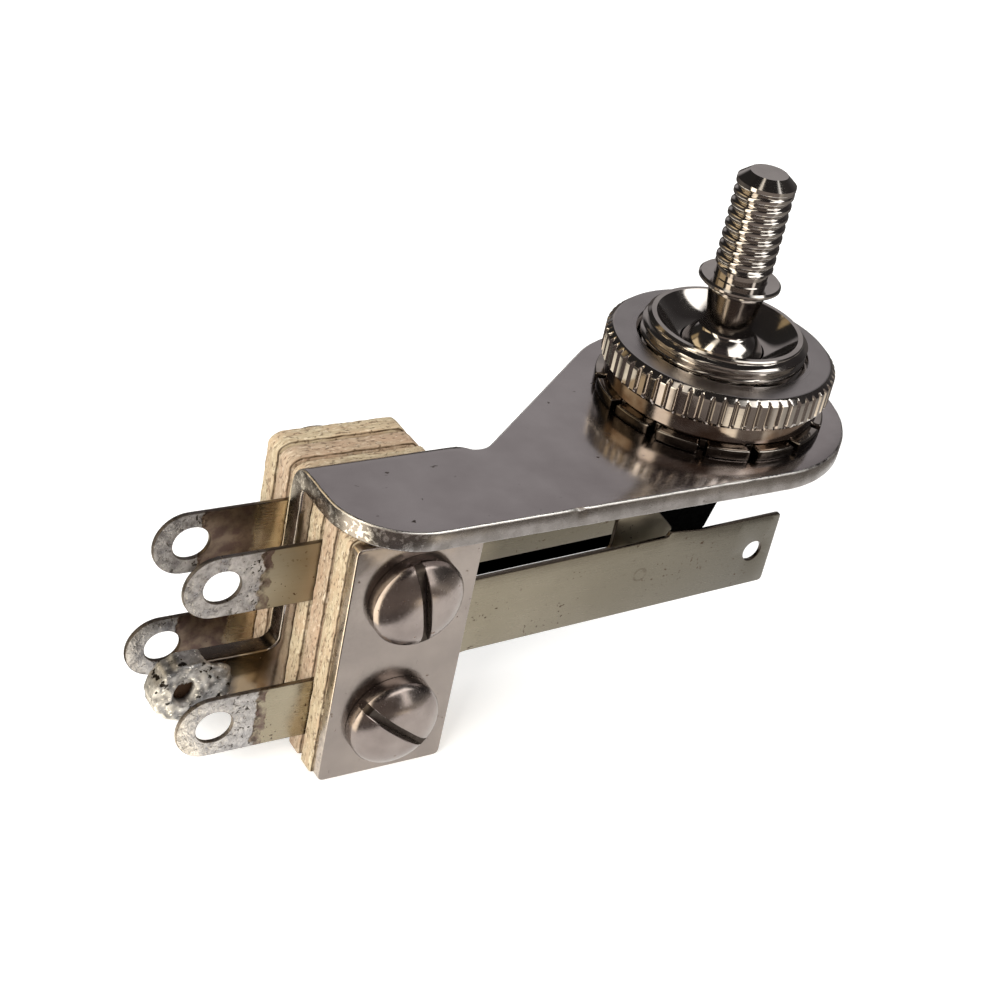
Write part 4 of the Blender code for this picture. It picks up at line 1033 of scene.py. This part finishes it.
# near, low, walls, window and ceiling are (compass degrees, tone) round the dome, from its foot to overhead;
# two angles hold one tone; the Up pairs are the heights in degrees where one gives way to the next
studio = {
    "floor": -21.35, "floorTone": (0.86, 0.86, 0.85), "floorGloss": (0.8, 0.79, 0.775), "floorGlow": 0.36,
    "floorDim": 0.13, "floorHalf": 3.0, "worldTone": (1, 0.99, 0.97), "worldGlow": 0.45,
    "bowlRadius": (40.0, 520.0), "bowlFoot": 0.5, "bowlRise": 25,
    "near": [
        (0, (0.3, 0.27, 0.25)), (20, (0.1, 0.09, 0.085)), (84, (0.04, 0.037, 0.035)),
        (88, (1.0, 0.9, 0.72)), (104, (1.1, 1.0, 0.8)), ((107, 113), (0.05, 0.045, 0.04)),
        (116, (1.5, 1.36, 1.09)), (130, (1.5, 1.34, 1.06)), ((133, 138), (0.04, 0.036, 0.033)),
        ((141, 168), (1.7, 1.53, 1.22)), ((171, 176), (0.05, 0.045, 0.04)), (178, (3.0, 2.7, 2.15)),
        (196, (3.0, 2.68, 2.1)), (199, (0.15, 0.13, 0.125)), (246, (0.17, 0.14, 0.12)),
        ((249, 262), (1.9, 1.68, 1.33)), ((265, 290), (0.24, 0.2, 0.17)), (293, (0.9, 0.82, 0.7)),
        (300, (0.8, 0.73, 0.62)), (306, (0.45, 0.41, 0.36)), (350, (0.45, 0.41, 0.37)),
    ],
    "low": [
        (0, (0.2, 0.18, 0.17)), (20, (0.1, 0.09, 0.085)), (84, (0.08, 0.07, 0.065)),
        (130, (0.16, 0.14, 0.12)), (160, (0.1, 0.088, 0.08)), (176, (0.04, 0.036, 0.033)),
        (178, (3.4, 3.05, 2.45)), (196, (3.4, 3.02, 2.4)), (199, (0.1, 0.09, 0.085)),
        (208, (0.26, 0.215, 0.19)), (286, (0.26, 0.22, 0.195)), (293, (0.6, 0.55, 0.48)),
        (300, (0.5, 0.46, 0.4)), (310, (0.3, 0.27, 0.24)), (350, (0.25, 0.23, 0.21)),
    ],
    "walls": [
        (0, (0.04, 0.036, 0.036)), (28, (0.1, 0.095, 0.095)), (36, (0.41, 0.385, 0.385)),
        (76, (0.42, 0.395, 0.395)), (86, (0.03, 0.028, 0.027)), (112, (0.03, 0.028, 0.026)),
        ((115, 124), (0.45, 0.33, 0.18)), (127, (0.08, 0.065, 0.05)), ((131, 162), (1.1, 0.86, 0.53)),
        (165, (0.05, 0.042, 0.038)), (176, (0.03, 0.026, 0.024)), (178, (3.2, 2.9, 2.4)),
        (196, (3.2, 2.88, 2.3)), (199, (0.1, 0.085, 0.08)), ((208, 270), (0.2, 0.165, 0.145)),
        (288, (0.05, 0.042, 0.04)), ((291, 300), (2.2, 2.12, 2.0)), ((304, 330), (0.1, 0.094, 0.09)),
        ((340, 359), (0.04, 0.036, 0.036)),
    ],
    "window": [
        (0, (0.04, 0.036, 0.036)), (28, (0.1, 0.095, 0.095)), (36, (0.41, 0.385, 0.385)),
        (76, (0.42, 0.395, 0.395)), (86, (0.03, 0.028, 0.027)), (176, (0.03, 0.026, 0.024)),
        (178, (3.2, 2.9, 2.4)), (196, (3.2, 2.88, 2.3)), ((199, 259), (0.05, 0.04, 0.04)),
        (262, (2.8, 2.7, 2.5)), (326, (2.8, 2.75, 2.65)), (329, (0.05, 0.046, 0.044)),
        (359, (0.04, 0.036, 0.036)),
    ],
    "ceiling": [
        (0, (0.03, 0.027, 0.027)), (170, (0.022, 0.02, 0.02)), ((178, 195), (1.2, 1.1, 0.95)),
        (203, (0.03, 0.026, 0.024)), (359, (0.03, 0.027, 0.027)),
    ],
    "nearUp": (0.52, 0.88), "lowUp": (21, 27), "windowUp": (48, 50), "ceilingUp": (63, 69),
}
lamps = {"key_lamp": {"spot": (-260, -130, 110), "size": (160, 160), "power": 1.2, "tint": (1.0, 0.98, 0.94)},
         "fill_lamp": {"spot": (200, -170, 120), "size": (180, 120), "power": 0.5, "tint": (1.0, 0.97, 0.93)},
         "back_lamp": {"spot": (-40, 240, 190), "size": (200, 90), "power": 0.3, "tint": (0.95, 0.97, 1.0)}}
lampAim = (-12, 0, -5)
photoCamera = {
    "lens": 71.72, "sensor": 36.0, "near": 0.001, "spot": (-0.087509, -0.094401, 0.067286),
    "turn": ((0.84912, 0.13671, -0.51021), (-0.49542, 0.54113, -0.67951), (0.18319, 0.82975, 0.52722)),
}


def stageMaterial(name):
    material = bpy.data.materials.new(name)
    material.use_nodes = True
    material.node_tree.nodes.clear()
    return material, nodeAdder(material.node_tree)


def makeFloor(d):
    # pale and lit by the lamps, with a glow that only the camera and reflections see
    mesh = bpy.data.meshes.new("studio_floor")
    s = d["floorHalf"]
    z = d["floor"] * mm
    mesh.from_pydata([(-s, -s, z), (s, -s, z), (s, s, z), (-s, s, z)], [], [(0, 1, 2, 3)])
    material, add = stageMaterial("pale_floor")
    path = add("LightPath").outputs
    glossy = path["Is Glossy Ray"]
    lift = times(add, maths(add, "MAXIMUM", path["Is Camera Ray"], glossy), d["floorGlow"])
    lift = add("Math", {0: glossy, 1: -d["floorDim"], 2: lift}, operation="MULTIPLY_ADD").outputs[0]
    glow = add("Emission", {"Color": (1, 1, 1, 1), "Strength": lift}).outputs[0]
    tone = mixColour(add, glossy, d["floorTone"], d["floorGloss"])
    diffuse = add("BsdfDiffuse", {"Color": tone}).outputs[0]
    add("OutputMaterial", {"Surface": add("AddShader", {0: diffuse, 1: glow}).outputs[0]})
    mesh.materials.append(material)
    addObject("studio_floor", mesh)


def makeCards(d):
    # a dome of glowing grey and cream cards round the object, seen only in reflections; u is the compass
    # angle, and v rises over a low slope (up to a quarter) and then along a quarter circle to the zenith
    u = np.linspace(0, 1, 97)
    v = np.linspace(0, 1, 33)
    low, high = d["bowlRadius"]
    rise = np.clip(v / 0.25, 0, 1)[:, None]
    up = np.clip((v - 0.25) / 0.75, 0, 1)[:, None] * np.pi / 2
    radius = low + (high - low) * rise * np.cos(up) - low * (up > 0) * (1 - np.cos(up))
    height = d["floor"] + d["bowlFoot"] + d["bowlRise"] * rise + high * np.sin(up)
    angle = 2 * np.pi * u[None, :]
    verts = np.stack([radius * np.cos(angle), radius * np.sin(angle), height + 0 * angle], -1)
    verts = verts.reshape(-1, 3) * mm
    mesh = bpy.data.meshes.new("studio_cards")
    mesh.from_pydata(verts.tolist(), [], gridFaces(len(v), len(u), closeCols=False).tolist())
    layer = mesh.uv_layers.new(name="cards")
    loopVerts = np.zeros(len(mesh.loops), np.int32)
    mesh.loops.foreach_get("vertex_index", loopVerts)
    uv = np.stack([u[loopVerts % len(u)], v[loopVerts // len(u)]], -1)
    layer.data.foreach_set("uv", uv.ravel().astype(np.float32))
    cards = addObject("studio_cards", mesh)
    for ray in ("visible_camera", "visible_diffuse", "visible_shadow", "visible_transmission"):
        setattr(cards, ray, False)
    material, add = stageMaterial("studio_cards")
    compass, rising, _ = add("SeparateXYZ", {0: add("UVMap", uv_map="cards").outputs[0]}).outputs

    def band(rows, scale, socket):
        node = add("ValToRGB")
        tones = [(at, tone) for ends, tone in rows for at in (ends if isinstance(ends, tuple) else (ends,))]
        while len(node.color_ramp.elements) < len(tones):
            node.color_ramp.elements.new(0.5)
        for element, (at, tone) in zip(node.color_ramp.elements, tones):
            element.position = at / scale
            element.color = (*tone, 1)
        node.id_data.links.new(socket, node.inputs[0])
        return node.outputs[0]

    def upTo(name, lower, upper):
        # the lower band gives way to the upper one between two heights
        start, end = d[name]
        share = band([((0, start), (0, 0, 0)), ((end, 90), (1, 1, 1))], 90, rising)
        return mixColour(add, share, lower, upper)

    near, low, walls, window, ceiling = (band(d[name], 360, compass)
                                         for name in ("near", "low", "walls", "window", "ceiling"))
    tone = upTo("lowUp", upTo("nearUp", near, low), walls)
    tone = upTo("ceilingUp", upTo("windowUp", tone, window), ceiling)
    add("OutputMaterial", {"Surface": add("Emission", {"Color": tone}).outputs[0]})
    mesh.materials.append(material)


def makeWorld(d):
    # white to the camera and in reflections, and a softer light on the object
    world = bpy.data.worlds.new("studio_world")
    bpy.context.scene.world = world
    world.use_nodes = True
    world.node_tree.nodes.clear()
    add = nodeAdder(world.node_tree)
    path = add("LightPath").outputs
    seen = maths(add, "MAXIMUM", path["Is Camera Ray"], path["Is Glossy Ray"])
    seen = maths(add, "MAXIMUM", seen, path["Is Transmission Ray"])
    white = add("Background", {"Color": (1, 1, 1, 1)}).outputs[0]
    soft = add("Background", {"Color": (*d["worldTone"], 1), "Strength": d["worldGlow"]}).outputs[0]
    add("OutputWorld", {"Surface": add("MixShader", {0: seen, 1: soft, 2: white}).outputs[0]})


def addLamp(name, d):
    # a soft box that faces the aim and is kept out of reflections
    light = bpy.data.lights.new(name, "AREA")
    light.shape = "RECTANGLE"
    light.size, light.size_y = d["size"][0] * mm, d["size"][1] * mm
    light.energy = d["power"]
    light.color = d["tint"]
    lamp = addObject(name, light)
    lamp.visible_glossy = False
    lamp.location = [c * mm for c in d["spot"]]
    back = np.array(d["spot"], float) - np.array(lampAim, float)
    back /= np.linalg.norm(back)
    side = np.cross([0, 0, 1], back)
    side /= np.linalg.norm(side)
    turn = np.stack([side, np.cross(back, side), back], axis=1)
    lamp.rotation_euler = Matrix(turn.tolist()).to_euler()


def addCamera(d):
    # solved from the photograph: the bushing's circles, the plate's edges and the stack's corners
    data = bpy.data.cameras.new("photo_camera")
    data.lens = d["lens"]
    data.sensor_width = d["sensor"]
    data.sensor_fit = "HORIZONTAL"
    data.clip_start = d["near"]
    camera = addObject("photo_camera", data)
    camera.matrix_world = Matrix.Translation(d["spot"]) @ Matrix(d["turn"]).to_4x4()
    bpy.context.scene.camera = camera


makeFloor(studio)
makeCards(studio)
makeWorld(studio)
for lampName, lamp in lamps.items():
    addLamp(lampName, lamp)
addCamera(photoCamera)
bpy.context.scene.view_settings.view_transform = "Standard"
print("studio made")
